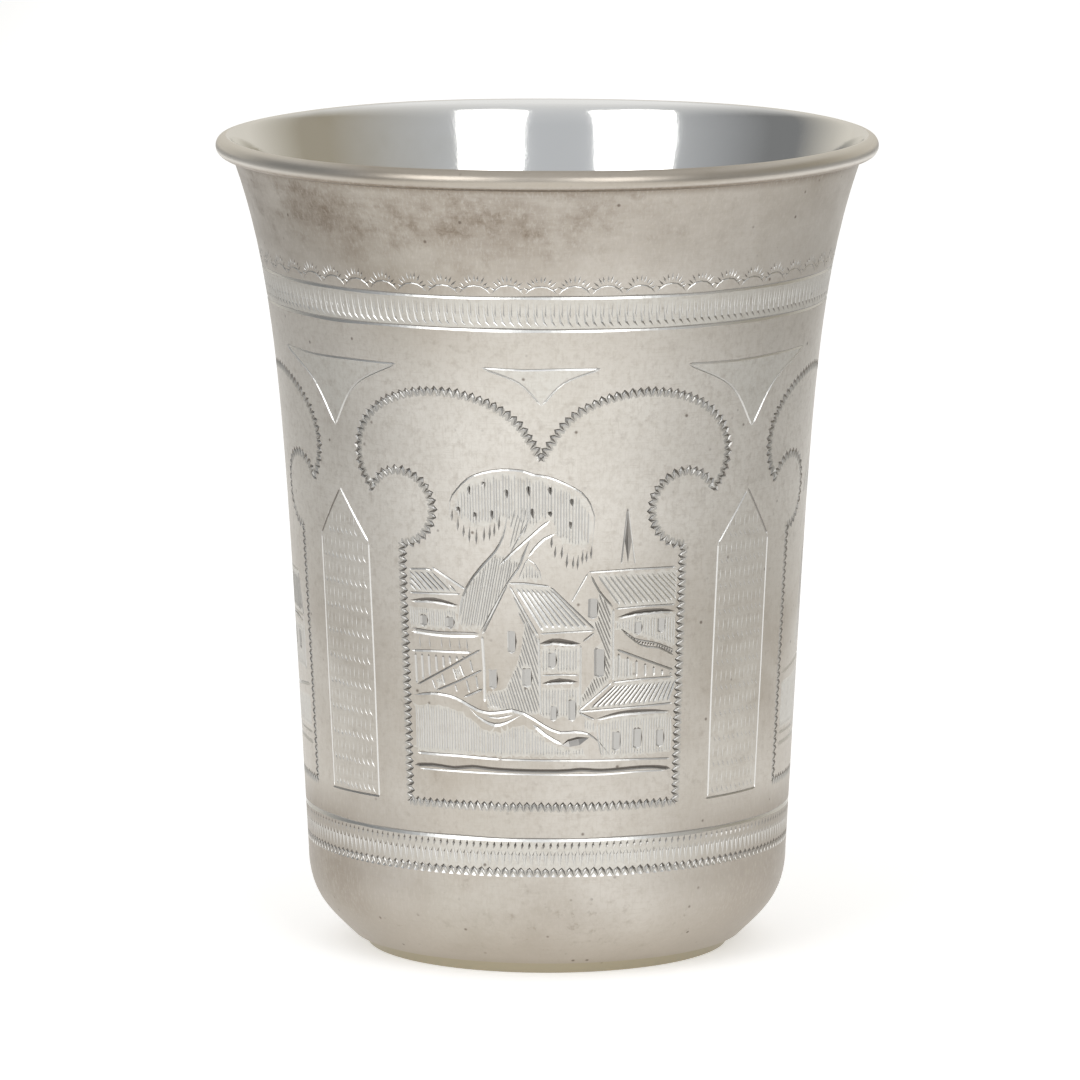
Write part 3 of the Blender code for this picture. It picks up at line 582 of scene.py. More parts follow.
def rightHouse(graver):
    graver.line([(2.86, 20.22), (4.48, 23.1)], 0.26, lean=-0.1)
    graver.line([(4.5, 23.15), (8.9, 23.3), (13.55, 23.25)], 0.26)
    graver.sweep([(4.75, 22.9), (5.6, 21.3), (7.02, 19.62)], 0.28)
    graver.line([(7.05, 19.6), (7.07, 12.35)], 0.26)
    graver.fan([(5.1, 23.0), (13.6, 23.05)], [(7.5, 19.7), (17.5, 19.7)], 16, 0.23, 0.45)
    graver.line([(7.23, 19.5), (10.34, 19.6), (13.6, 19.58)], 0.24)
    graver.crescent([(7.4, 18.65), (9.3, 19.05), (12.16, 19.12), (13.6, 18.9)], 0.5)
    graver.window(4.5, 20.6, 5.42, 18.75, -0.85)
    graver.window(5.18, 15.63, 6.2, 13.0, -0.85)
    gable = [(5.5, 21.2), (6.9, 19.5), (6.9, 12.6), (5.2, 10.9), (3.95, 10.0), (3.95, 11.2),
             (5.1, 13.0), (5.1, 15.7), (6.0, 16.2), (5.3, 17.6), (4.6, 18.4), (5.5, 18.5)]
    graver.hatch([gable, box(5.18, 15.63, 6.2, 13.0)], 113, 0.28, 0.15, 0.6, 0.06, 0.08)
    lights = [(9.2, 18.07, 9.96, 17.0), (11.65, 18.33, 12.45, 17.04)]
    wall = [(7.3, 18.4), (9.2, 18.75), (13.6, 18.7), (13.6, 15.4), (11.49, 16.2), (9.23, 16.8),
            (8.0, 17.4), (7.3, 17.2)]
    graver.pierced([wall], lights, 90, 0.3)
    hedgeTop = [(7.91, 17.52), (9.23, 16.49), (11.49, 15.94), (13.6, 15.1)]
    hedgeFoot = [(8.0, 17.3), (9.99, 15.8), (11.96, 15.4), (13.6, 14.55)]
    graver.sweep(hedgeTop, 0.2, tone=-0.2)
    graver.sweep(hedgeFoot, 0.24)
    edges = curveThrough(hedgeTop, 0.3), curveThrough(hedgeFoot, 0.3)
    for index in range(20):
        t = (index + 0.7) / 21
        high, low = (edge[min(int(t * len(edge)), len(edge) - 1)] for edge in edges)
        middle = (high + low) / 2
        graver.mark([high + (0.12, -0.05), middle, low + (-0.1, 0.1)], (0, 1, 0), 0.26, 0.8, tone=-1.1)
    graver.line([(7.44, 15.5), (10.78, 14.2), (13.6, 13.1)], 0.3, lean=0.4)
    for index in range(7):
        across = 7.65 + 0.93 * index
        top = 15.45 - (across - 7.44) * 0.39
        graver.cut([(across, top - 0.25), (across + 0.02, 12.65)], 0.26, 0.7, (0.2, 0.3), 0.2, -0.5)
    graver.hatch([[(7.2, 15.0), (9.2, 14.3), (9.2, 12.6), (7.2, 12.5)]], 90, 0.31, 0.12)


def lowHouse(graver):
    graver.line([(7.0, 12.3), (10.07, 12.47), (13.6, 12.5)], 0.22)
    graver.line([(3.62, 9.55), (7.0, 12.28)], 0.24)
    graver.line([(3.62, 9.5), (7.91, 9.74), (13.6, 9.88)], 0.24)
    graver.fan([(7.4, 12.2), (14.1, 12.3)], [(4.6, 9.75), (13.2, 10.0)], 16, 0.25)
    graver.crescent([(5.3, 8.75), (7.92, 9.25), (10.9, 9.3), (13.4, 9.1)], 0.46, tone=-0.6)
    graver.line([(3.63, 9.45), (5.35, 8.65)], 0.28)
    graver.sweep([(5.55, 8.5), (5.62, 7.01), (6.1, 4.95)], 0.22)
    lights = [(7.08, 7.37, 7.91, 5.7), (9.28, 7.6, 10.16, 5.8), (11.81, 7.29, 12.65, 5.8)]
    wall = [(5.75, 8.5), (8.0, 8.9), (13.6, 8.85), (13.6, 4.95), (6.2, 4.95), (5.85, 6.6)]
    graver.pierced([wall], lights, 90, 0.3)
    graver.hatch([[(3.9, 9.1), (5.3, 8.5), (5.4, 7.3), (4.3, 7.7)]], 90, 0.27, 0.14)


def gardenFence(graver):
    graver.line([(-13.5, 14.95), (-11.38, 15.07), (-6.98, 15.2)], 0.3, lean=0.4)
    graver.line([(-13.0, 11.65), (-9.6, 13.5), (-6.1, 15.5)], 0.26)
    graver.line([(-10.87, 11.25), (-8.4, 12.3), (-5.95, 13.5)], 0.26)
    graver.line([(-7.91, 10.75), (-5.9, 11.65)], 0.26)
    for across in (-13.09, -12.36, -11.6, -10.8, -10.03, -9.32, -8.6, -7.93):
        foot = 11.75 + (across + 13.0) * 0.56
        graver.cut([(across, 14.8), (across + 0.08, foot)], 0.27, 0.7, (0.25, 0.3), 0.2, -0.6)
    for across in (-12.6, -11.5, -10.2, -9.3, -8.3, -7.5):
        graver.mark([(across, 16.6), (across + 0.06, 15.8), (across + 0.1, 15.3)], (0, 1, 0), 0.18, 0.7,
                    tone=-0.8)
    dividers = (((-11.3, 12.35), (-10.9, 11.3)), ((-10.2, 13.0), (-9.9, 11.8)),
                ((-9.0, 13.6), (-8.6, 12.35)), ((-8.3, 14.0), (-7.8, 12.7)),
                ((-7.2, 14.5), (-6.9, 13.2)), ((-8.8, 12.0), (-8.6, 11.2)),
                ((-7.6, 12.5), (-7.3, 11.2)), ((-6.6, 13.0), (-6.4, 11.6)))
    for top, foot in dividers:
        graver.cut([top, foot], 0.2, 0.7, (0.2, 0.2), tone=-0.5)
    for shape in ([(-10.9, 12.4), (-10.3, 12.7), (-10.0, 11.9), (-10.6, 11.6)],
                  [(-8.9, 13.4), (-8.4, 13.7), (-7.95, 12.9), (-8.5, 12.6)]):
        graver.hatch([shape], 100, 0.22, 0.12)


def ground(graver):
    bank = [(-13.4, 10.6), (-11.52, 10.9), (-9.99, 10.88), (-8.76, 10.62), (-7.56, 10.07),
            (-6.49, 9.56), (-5.31, 9.33), (-3.91, 9.49), (-2.98, 9.66), (-1.83, 9.37), (-0.8, 8.82),
            (0.46, 8.03), (1.81, 7.5), (3.36, 7.55), (4.64, 7.32), (5.79, 6.45), (6.52, 5.6),
            (7.0, 5.0)]
    graver.sweep(bank, 0.42, lean=0.3, shares=[(0, 0), (0.05, 0.8), (0.4, 1), (0.6, 0.85), (0.8, 0.8),
                                               (1, 0)])
    graver.sweep([(-7.4, 9.75), (-6.6, 9.0), (-5.91, 8.57), (-4.74, 8.16), (-3.57, 8.43), (-2.06, 9.2)],
                 0.5, lean=0.3, shares=[(0, 0), (0.3, 0.6), (0.55, 1), (0.8, 0.5), (1, 0)])
    graver.sweep([(-5.6, 9.0), (-4.4, 8.85), (-2.9, 9.2)], 0.22)
    graver.mark([(1.9, 6.2), (2.7, 6.45), (3.7, 6.65), (4.75, 6.95)], (0, 0.9, 1, 0), 0.85, 0.45, 0.4,
                -1.1)
    graver.sweep([(-0.9, 8.3), (0.3, 7.3), (1.2, 6.75), (2.1, 6.3)], 0.42, lean=0.5)
    waterTop = [(-13.4, 9.8), (-11.5, 10.0), (-9.5, 9.8), (-8.0, 9.3), (-6.9, 8.6), (-5.6, 7.7),
                (-4.3, 7.6), (-3.0, 8.1), (-1.8, 8.4), (-0.6, 7.6), (0.6, 6.7), (2.2, 5.9), (3.0, 5.9),
                (3.0, 5.05), (-13.4, 5.15)]
    graver.hatch([waterTop], 90, 0.285, 0.15, 0.55, 0.05, 0.25)
    graver.hatch([[(3.0, 5.9), (4.3, 6.1), (4.3, 5.1), (3.0, 5.1)]], 90, 0.3, 0.12)
    graver.line([(-13.2, 4.93), (-8.4, 4.94), (-4.19, 4.79)], 0.32, lean=0.4)
    graver.line([(-4.3, 4.8), (1.82, 4.75), (6.1, 4.65), (9.96, 4.59), (13.5, 4.44)], 0.28, lean=0.35)
    graver.sweep([(-13.6, 3.68), (-11.61, 3.86), (-9.05, 3.72), (-7.19, 3.95), (-4.2, 3.77),
                  (1.82, 3.7), (4.0, 3.82), (6.12, 3.66), (9.98, 3.78), (12.16, 3.67), (13.6, 3.4)],
                 0.46, tone=-1.0, lean=-0.2)
    graver.sweep([(-13.0, 3.4), (-9.0, 3.42), (-4.2, 3.4), (1.8, 3.35), (6.1, 3.3), (10.0, 3.38),
                  (13.0, 3.3)], 0.24, tone=0.2, lean=0.3)


def villageView(graver, middle):
    graver.moveTo(middle, layout["panelFoot"])
    for motif in (leftHouse, tree, spire, centreHouse, rightHouse, lowHouse, gardenFence, ground):
        motif(graver)


def sideView(graver, middle):  # plainer: a tree, one house and the bank
    graver.moveTo(middle, layout["panelFoot"])
    crown = arc((-2.0, 27.5), 7.0, 5.6, 178, -42, 12)
    graver.sweep(crown, 0.28, lean=0.35, step=1.2)
    graver.sweep([(-8.2, 12.0), (-7.3, 21.7), (-5.5, 24.0), (-3.7, 26.0), (-3.3, 29.3)][::-1], 0.3,
                 lean=-0.3)
    graver.sweep([(-4.7, 14.8), (-2.6, 24.2), (-0.7, 26.0), (1.1, 27.3)], 0.34, lean=0.4)
    leaves = arc((-2.0, 27.5), 6.5, 5.1, 176, -38, 12) + [(2.4, 25.4), (-1.0, 27.2), (-4.5, 26.8)]
    graver.hatch([leaves], 90, 0.42, 0.16, 0.55, 0.1, 0.6)
    graver.hatch([[(-8.0, 12.6), (-7.1, 21.6), (-5.4, 23.7), (-3.0, 23.6), (-4.8, 14.9)]], 82, 0.4, 0.15)
    for across in (-7.0, -4.6, -2.2, 0.2, 2.6):
        graver.drop((across, 30.6 - abs(across + 2) * 0.2), (across + 0.1, 29.7 - abs(across + 2) * 0.2))
    for across in np.arange(-7.6, 4.6, 0.62):
        if abs(across + 2.6) > 1.6:
            graver.cut([(across, 25.6), (across - 0.05, 24.5 + graver.hand.uniform(-0.3, 0.3))], 0.2,
                       0.6, (0.5, 0.3))
    eave, foot, apex = 16.1, 10.7, (3.0, 20.4)
    graver.line([(0.72, eave), apex], 0.3)
    graver.line([(0.72, eave), (0.72, foot)], 0.3)
    graver.line([apex, (5.45, eave)], 0.24)
    graver.line([(5.45, eave), (5.45, foot - 0.3)], 0.28)
    graver.line([apex, (11.2, 20.4)], 0.26)
    graver.line([(5.5, eave), (12.35, eave)], 0.26)
    graver.line([(11.2, 20.4), (12.35, eave)], 0.26)
    graver.fan([(3.6, 20.3), (11.0, 20.3)], [(6.1, 16.3), (12.1, 16.3)], 12, 0.26)
    graver.crescent([(5.6, 15.5), (8.9, 15.8), (12.2, 15.5)], 0.5)
    lights = [(6.9, 14.3, 7.8, 12.6), (9.8, 14.3, 10.7, 12.6)]
    graver.hatch([box(5.7, 15.1, 12.2, foot)] + [box(*light) for light in lights], 90, 0.36, 0.15)
    graver.hatch([[(3.2, 19.4), (5.3, 16.0), (5.3, foot), (3.0, foot)]], 110, 0.36, 0.15)
    for light in lights + [(1.7, 14.6, 2.5, 12.8)]:
        graver.window(*light)
    graver.line([(12.35, eave), (12.35, foot)], 0.26)
    bank = [(-13.35, 10.7), (-4.3, 11.4), (2.9, 8.7), (13.35, 9.4)]
    graver.sweep(bank, 0.42, lean=0.3)
    graver.hatch([[(-13.2, 9.9), (-4.3, 10.5), (2.9, 7.8), (13.2, 8.4), (13.2, 5.1), (-13.2, 5.1)]], 90,
                 0.44, 0.16)
    graver.line([(-13.35, 4.7), (0.0, 4.75), (13.35, 4.6)], 0.32, lean=0.4)
    graver.sweep([(-13.4, 3.6), (-6.0, 3.8), (0.0, 3.6), (7.0, 3.8), (13.4, 3.6)], 0.48, lean=0.3)


meshing = {  # millimetres on the unrolled wall, degrees for the sharp edges
    "cell": 0.6, "gridMargin": 0.14, "faceMargin": 0.02, "flatShare": 0.94,
    "seamMargin": 0.03, "leastDepth": 2e-4, "leastCut": 1e-3, "onLine": 1e-5, "onSeam": 1e-4,
    "sharpFrom": 32,
    # how high on the texture each part lies
    "uvWall": (0.27, 0.86), "uvLower": (0.0, 0.11), "uvUpper": (0.87, 1.0), "uvInside": (0.12, 0.26),
}


def stretchOf(cuts):  # every straight stretch of every cut, as flat arrays
    rows = []
    for path, half, depth, lean, tone in cuts:
        for index in range(len(path) - 1):
            rows.append((*path[index], *path[index + 1], half[index], half[index + 1], depth[index],
                         depth[index + 1], lean, tone))
    return np.array(rows)


def sounding(places, stretches, margin):  # depth, tone and nearness of the deepest cut at each place
    cell = meshing["cell"]
    low = places.min(0)
    spread = int(np.ceil((places[:, 0].max() - low[0]) / cell)) + 2
    keys = np.floor((places - low) / cell).astype(int)
    flat = keys[:, 1] * spread + keys[:, 0]
    order = np.argsort(flat, kind="stable")
    ordered = flat[order]
    owners, cells = [], []
    reach = np.maximum(stretches[:, 4], stretches[:, 5]) + margin
    lowEdge = np.minimum(stretches[:, :2], stretches[:, 2:4]) - reach[:, None]
    highEdge = np.maximum(stretches[:, :2], stretches[:, 2:4]) + reach[:, None]
    lowCell, highCell = (np.floor((edge - low) / cell).astype(int) for edge in (lowEdge, highEdge))
    for index, (a, b) in enumerate(zip(lowCell, highCell)):
        for row in range(max(a[1], 0), b[1] + 1):
            for column in range(max(a[0], 0), min(b[0], spread - 1) + 1):
                owners.append(index)
                cells.append(row * spread + column)
    owners, cells = np.array(owners), np.array(cells)
    first = np.searchsorted(ordered, cells, "left")
    count = np.searchsorted(ordered, cells, "right") - first
    owner = np.repeat(owners, count)
    offset = np.arange(len(owner)) - np.repeat(np.cumsum(count) - count, count)
    who = order[np.repeat(first, count) + offset]
    s = stretches[owner]
    run = s[:, 2:4] - s[:, :2]
    length = np.linalg.norm(run, axis=1)
    run = run / length[:, None]
    off = places[who] - s[:, :2]
    along = (off * run).sum(1)
    side = -off[:, 0] * run[:, 1] + off[:, 1] * run[:, 0]
    t = np.clip(along / length, 0, 1)
    half = s[:, 4] + (s[:, 5] - s[:, 4]) * t
    deep = s[:, 6] + (s[:, 7] - s[:, 6]) * t
    outside = np.maximum(np.maximum(-along, along - length), 0)
    valley = s[:, 8] * half
    wallRun = np.where(side > valley, half - valley, half + valley)
    share = meshing["flatShare"]  # the cut reaches the surface a little inside its edge
    fall = (share - np.abs(side - valley) / np.maximum(wallRun, 1e-6)) / share
    fall = np.where(outside <= half * 0.25 + 1e-4, fall, 0)
    depth = np.where(half > 1e-6, deep * np.clip(fall, 0, 1), 0)
    near = np.where(outside < margin, half + margin - np.abs(side), -1)
    depths = np.zeros(len(places))
    tones = np.zeros(len(places))
    nearness = np.full(len(places), -1.0)
    rank = np.argsort(depth, kind="stable")
    depths[who[rank]] = depth[rank]
    tones[who[rank]] = s[rank, 9]
    np.maximum.at(nearness, who, near)
    return depths, tones, nearness


def drawnPoints(cuts):  # edges and valley of each cut, for the triangulation
    points, edges = [], []
    for path, half, depth, lean, tone in cuts:
        run = np.diff(path, axis=0)
        run /= np.linalg.norm(run, axis=1)[:, None]
        before, after = np.vstack((run[:1], run)), np.vstack((run, run[-1:]))
        both = before + after
        both /= np.linalg.norm(both, axis=1)[:, None]
        stretch = 1 / np.maximum((both * before).sum(1), 0.7)[:, None]  # keeps the width round bends
        side = np.stack((-both[:, 1], both[:, 0]), 1) * stretch
        closed = half < 1e-6
        lastThree = None
        for index in range(len(path)):
            if closed[index]:
                points.append(path[index])
                three = [len(points) - 1] * 3
            else:
                offset = side[index] * half[index]
                if index in (0, len(path) - 1):  # open ends lie on the seam, so they stay upright
                    offset = np.array((0.0, half[index]))
                points += [path[index] + offset, path[index] + offset * lean, path[index] - offset]
                three = [len(points) - 3, len(points) - 2, len(points) - 1]
            if lastThree:
                edges += [(a, b) for a, b in zip(lastThree, three)]
            lastThree = three
    return points, edges


def inFields(places, fields):  # grade of painted sheen and shade there, 0 outside every field
    worked = np.zeros(len(places))
    for loops, grade in fields:
        everything = np.vstack(loops)
        low, high = everything.min(0), everything.max(0)
        near = np.where(((places > low) & (places < high)).all(1))[0]
        odd = np.zeros(len(near), bool)
        x, y = places[near].T
        for loop in loops:
            for a, b in zip(loop, np.roll(loop, -1, axis=0)):
                if a[0] != b[0]:
                    crossing = a[1] + (b[1] - a[1]) * (x - a[0]) / (b[0] - a[0])
                    odd ^= ((a[0] > x) != (b[0] > x)) & (y < crossing)
        worked[near] = np.maximum(worked[near], odd * grade)
    return worked


def wallSheet(cuts, fields):  # the drawn wall, unrolled and cut into triangles along every stroke
    stretches = stretchOf(cuts)
    columns = np.linspace(-halfTurn, halfTurn, cup["facets"] + 1)
    rows = np.linspace(heelTop, cup["engravedTop"], cup["wallRows"] + 1)
    grid = np.array([(x, y) for y in rows[1:-1] for x in columns])
    nearness = sounding(grid, stretches, meshing["gridMargin"])[2]
    free = (nearness < 0).reshape(len(rows) - 2, len(columns))
    free[:, 0] = free[:, -1] = free[:, 0] & free[:, -1]
    points, edges = drawnPoints(cuts)
    start, across = len(points), len(columns)
    points += [(x, y) for y in (rows[0], rows[-1]) for x in columns]
    points += list(grid[free.ravel()])
    edges += [(start + row + i, start + row + i + 1) for row in (0, across) for i in range(across - 1)]
    points = np.array(points)
    inner = halfTurn - meshing["seamMargin"]  # only what ends on the seam may touch it
    loose = (np.abs(points[:, 0]) > inner) & (np.abs(np.abs(points[:, 0]) - halfTurn) > 1e-6)
    points[loose, 0] = np.sign(points[loose, 0]) * inner
    corners = [Vector(point) for point in points.tolist()]
    places, _, faces = delaunay_2d_cdt(corners, edges, [], 0, 1e-5, False)[:3]
    places = np.array([(p.x, p.y) for p in places])
    faces = np.array(faces)
    depths = sounding(places, stretches, meshing["faceMargin"])[0]
    depths[depths < meshing["leastDepth"]] = 0
    middles = places[faces].mean(1)
    middleDepths, tones, _ = sounding(middles, stretches, meshing["faceMargin"])
    cutFaces = (middleDepths > meshing["leastCut"]) & (depths[faces].max(1) > 0)
    return places, faces, depths, (cutFaces, tones * cutFaces, inFields(middles, fields))


def surfaceNormals(angle, radiusAt, height):  # of the smooth form, before any cut
    turn = 1e-3
    rise = turn * 20
    around = shaped(angle + turn, radiusAt(height), height) - shaped(angle - turn, radiusAt(height),
                                                                     height)
    up = shaped(angle, radiusAt(height + rise), height + rise)
    up = up - shaped(angle, radiusAt(height - rise), height - rise)
    normal = np.cross(around, up)
    return normal / np.linalg.norm(normal, axis=1)[:, None]


def onSeam(places, along):  # points on one edge of the unrolled wall, from the foot up
    on = np.where(np.abs(places[:, 0] - along) < meshing["onSeam"])[0]
    return on[np.argsort(places[on, 1])]


def onLevel(places, level):  # points on the wall's lowest or highest row, from left to right
    on = np.where(np.abs(places[:, 1] - level) < meshing["onLine"])[0]
    return on[np.argsort(places[on, 0])]


def beakerPoints(cuts, fields):  # the drawn wall and the turned rings under and over it
    places, faces, depths, masks = wallSheet(cuts, fields)
    height = places[:, 1]
    points = [shaped(places[:, 0] / drawingRadius, wallRadiusAt(height) - depths, height)]
    leftSeam, rightSeam = onSeam(places, -halfTurn), onSeam(places, halfTurn)
    if len(leftSeam) != len(rightSeam) or np.abs(places[leftSeam, 1] - places[rightSeam, 1]).max() > 1e-3:
        raise ValueError("the two edges of the unrolled wall do not match")
    joined = np.arange(len(places))
    joined[rightSeam] = leftSeam
    facets = cup["facets"]
    columns = np.linspace(-math.pi, math.pi, facets + 1)[:-1]
    total = len(places)
    rings = []
    for name, profile, level in (("lower", lowerProfile(), heelTop),
                                 ("upper", upperProfile(), cup["engravedTop"])):
        rows = [joined[onLevel(places, level)[:-1]]]
        for radius, ringHeight in profile[1:]:
            points.append(shaped(columns, np.full(facets, radius), np.full(facets, ringHeight)))
            rows.append(np.arange(total, total + facets))
            total += facets
        points.append(shaped(np.zeros(1), np.zeros(1), np.full(1, profile[-1][1])))
        travel = np.concatenate(([0], np.cumsum(np.linalg.norm(np.diff(profile, axis=0), axis=1))))
        rings.append((name, rows, total, travel, int(np.argmax(profile[:, 1]))))
        total += 1
    return places, faces, masks, joined, np.vstack(points), rings


def uvAt(share, part):
    low, high = meshing["uv" + part.capitalize()]
    return low + (high - low) * share


def ringFaces(name, rows, pole, travel, crest):  # faces, texture corners and kind of one turned end
    facets = cup["facets"]
    down = name == "lower"
    for index in range(len(rows) - 1):
        pair = (index, index + 1)
        inside = not down and index >= crest
        kind = "inside" if inside else name
        if down:
            shares = [1 - travel[i] / travel[-1] for i in pair]
        elif inside:
            shares = [1 - (travel[i] - travel[crest]) / (travel[-1] - travel[crest]) for i in pair]
        else:
            shares = [travel[i] / travel[crest] for i in pair]
        near, far = (uvAt(share, kind) for share in shares)
        a, b = rows[index], rows[index + 1]
        for j in range(facets):
            k = (j + 1) % facets
            left, right = j / facets, (j + 1) / facets
            quad = [(a[j], left, near), (b[j], left, far), (b[k], right, far), (a[k], right, near)]
            if not down:
                quad = [quad[0], quad[3], quad[2], quad[1]]
            yield [corner[0] for corner in quad], [corner[1:] for corner in quad], kind
    last = rows[-1]
    kind = "lower" if down else "inside"
    for j in range(facets):
        k = (j + 1) % facets
        triangle = [last[j], pole, last[k]] if down else [last[j], last[k], pole]
        yield triangle, [(j / facets, uvAt(0.0, kind))] * 3, kind


def buildBeaker(cuts, fields):
    places, faces, masks, joined, points, rings = beakerPoints(cuts, fields)
    around = places[:, 0] / (2 * halfTurn) + 0.5
    up = uvAt((places[:, 1] - heelTop) / (cup["engravedTop"] - heelTop), "wall")
    polygons = [list(joined[face]) for face in faces]
    uvs = [[(around[i], up[i]) for i in face] for face in faces]
    kinds = ["wall"] * len(polygons)
    for ring in rings:
        for polygon, corners, kind in ringFaces(*ring):
            polygons.append(polygon)
            uvs.append(corners)
            kinds.append(kind)
    mesh = bpy.data.meshes.new("engravedBeaker")
    mesh.from_pydata((points * mm).tolist(), [], [[int(i) for i in polygon] for polygon in polygons])
    mesh.update()
    uvLayer = mesh.uv_layers.new(name="OFBake")
    uvLayer.data.foreach_set("uv", np.array([uv for face in uvs for uv in face], np.float32).ravel())
    addAttribute(mesh, "inside", [kind == "inside" for kind in kinds])
    for name, wallMask in zip(("cut", "tone", "worked"), masks):
        addAttribute(mesh, name, wallMask)
    setNormals(mesh, places, faces, masks[0], joined)
    return mesh


def addAttribute(mesh, name, values):  # one value a face; faces after the given ones keep 0
    padded = np.zeros(len(mesh.polygons), np.float32)
    padded[:len(values)] = values
    mesh.attributes.new(name, "FLOAT", "FACE").data.foreach_set("value", padded)


def setNormals(mesh, places, faces, cutFaces, joined):  # smooth as the form, flat inside every cut
    wallCount = len(faces)
    mesh.shade_smooth()
    mesh.set_sharp_from_angle(angle=math.radians(meshing["sharpFrom"]))
    normals = np.zeros(len(mesh.loops) * 3, np.float32)
    mesh.corner_normals.foreach_get("vector", normals)
    normals = normals.reshape(-1, 3)
    flat = np.zeros(len(mesh.polygons) * 3, np.float32)
    mesh.polygon_normals.foreach_get("vector", flat)
    flat = flat.reshape(-1, 3)
    smooth = surfaceNormals(places[:, 0] / drawingRadius, wallRadiusAt, places[:, 1])
    corners = smooth[faces]
    corners[cutFaces] = flat[:wallCount][cutFaces][:, None, :]
    normals[:wallCount * 3] = corners.reshape(-1, 3)
    vertexOf = np.zeros(len(mesh.loops), int)
    mesh.loops.foreach_get("vertex_index", vertexOf)
    onEdge = np.zeros(len(mesh.vertices), bool)
    for level in (heelTop, cup["engravedTop"]):  # the first ring takes the wall's own normals
        onEdge[joined[onLevel(places, level)]] = True
    wallNormal = np.zeros((len(mesh.vertices), 3))
    wallNormal[joined] = smooth
    rest = np.where(onEdge[vertexOf])[0]
    rest = rest[rest >= wallCount * 3]
    normals[rest] = wallNormal[vertexOf[rest]]
    mesh.normals_split_custom_set(normals.tolist())


class Wire:  # one output of a node; sums on it add Math nodes
    def __init__(self, tree, socket=None):
        self.tree, self.socket = tree, socket

    def make(self, kind, settings=None, sockets=None, output=0):  # settings first, then sockets
        node = self.tree.nodes.new("ShaderNode" + kind)
        for name, value in (settings or {}).items():
            setattr(node, name, value)
        for name, value in (sockets or {}).items():
            target = node.inputs[name]
            if isinstance(value, Wire):
                self.tree.links.new(value.socket, target)
            else:
                target.default_value = value
        return Wire(self.tree, node.outputs[output]) if len(node.outputs) else None

    def split(self):
        node = self.make("SeparateXYZ", {}, {0: self}).socket.node
        return [Wire(self.tree, output) for output in node.outputs]

    def maths(self, operation, a, b=0.0):
        return self.make("Math", {"operation": operation}, {0: a, 1: b})

    def __add__(self, other):
        return self.maths("ADD", self, other)

    def __radd__(self, other):
        return self.maths("ADD", other, self)

    def __sub__(self, other):
        return self.maths("SUBTRACT", self, other)

    def __rsub__(self, other):
        return self.maths("SUBTRACT", other, self)

    def __mul__(self, other):
        return self.maths("MULTIPLY", self, other)

    def __rmul__(self, other):
        return self.maths("MULTIPLY", other, self)

    def __pow__(self, other):
        return self.maths("POWER", self, other)

    def size(self):
        return self.maths("ABSOLUTE", self)

    def least(self, other):
        return self.maths("MINIMUM", self, other)

    def most(self, other):
        return self.maths("MAXIMUM", self, other)

    def between(self, low, high):  # 0 below low, 1 above high, clamped
        return self.make("MapRange", {}, {"Value": self, "From Min": low, "From Max": high})

    def blend(self, a, b):  # colour a where this is 0, b where it is 1
        return self.make("Mix", {"data_type": "RGBA"}, {0: self, 6: a, 7: b}, 2)


silver = {  # colours are linear
    "plain": (0.50, 0.465, 0.41), "warm": (0.41, 0.36, 0.30), "worn": (0.59, 0.555, 0.505),
    "dull": (0.42, 0.375, 0.315), "tarnishAndShade": (0.17, 0.125, 0.085), "spot": (0.12, 0.09, 0.07),
    "rubbed": (0.70, 0.67, 0.62), "worked": (0.66, 0.645, 0.60), "shadedBand": (0.36, 0.35, 0.325),
    "cutHighlight": (0.86, 0.855, 0.83), "cutShade": (0.15, 0.135, 0.12), "beadSideHighlight": (0.90, 0.865, 0.80),
    "base": (0.41, 0.36, 0.295), "footTint": (0.42, 0.375, 0.275),
    "inside": (0.93, 0.925, 0.90), "insideStain": (0.72, 0.70, 0.60),
    "roughness": 0.40, "cutRoughness": 0.30, "insideRoughness": 0.085, "beadRoughness": 0.36,
    "cloudRoughness": 0.16, "scratchRoughness": 0.1, "insideUnevenness": 0.06,
    "scratchDepth": 0.09, "reliefStrength": 0.12,
}

wearAndPaintedLight = {  # spans in mm over which each mark comes in or goes out (wear, tarnish, painted shade and painted highlights), then how strong it is
    "neckStart": (66.0, 74.0), "neckEnd": (78.2, 78.6), "neckLeft": (-4.0, 20.0),
    "neckFront": (-10.0, 12.0), "neckMiddle": (5.0, 20.0), "neckAll": 0.25, "neckLeftMore": 0.45, "neckMiddleMore": 0.33,
    "heelEnd": (6.0, 13.0), "heelDirt": 0.12, "heelPits": 0.5, "pits": 0.3,
    "flankEnd": (14.5, 18.0), "flankSide": (9.0, 22.0), "flankShade": 0.58,
    "creaseStart": (76.0, 77.9), "creaseEnd": (78.2, 78.4), "creaseShadeAndTarnish": 0.8,
    "footCreaseStart": (0.7, 1.15), "footCreaseEnd": (1.35, 2.0), "footCreaseShadeAndDirt": 0.35,
    "rubbedStart": (34.0, 46.0), "rubbedEnd": (58.0, 66.0), "worked": 0.7, "shadedBand": 0.65,
    "grime": 0.5, "fine": 0.5, "hairs": 0.2, "spots": 0.75, "stain": 0.35,
    "footEnd": (1.1, 1.35), "foot": 0.9, "lowEnd": (1.5, 7.5), "low": 0.7,
    "cutTurn": (0.12, 0.42), "cutShade": 0.85, "cutTone": 0.7, "cut": 0.94,
    "beadStart": (78.3, 78.6), "beadSide": (16.0, 29.0), "bead": 0.75,
}

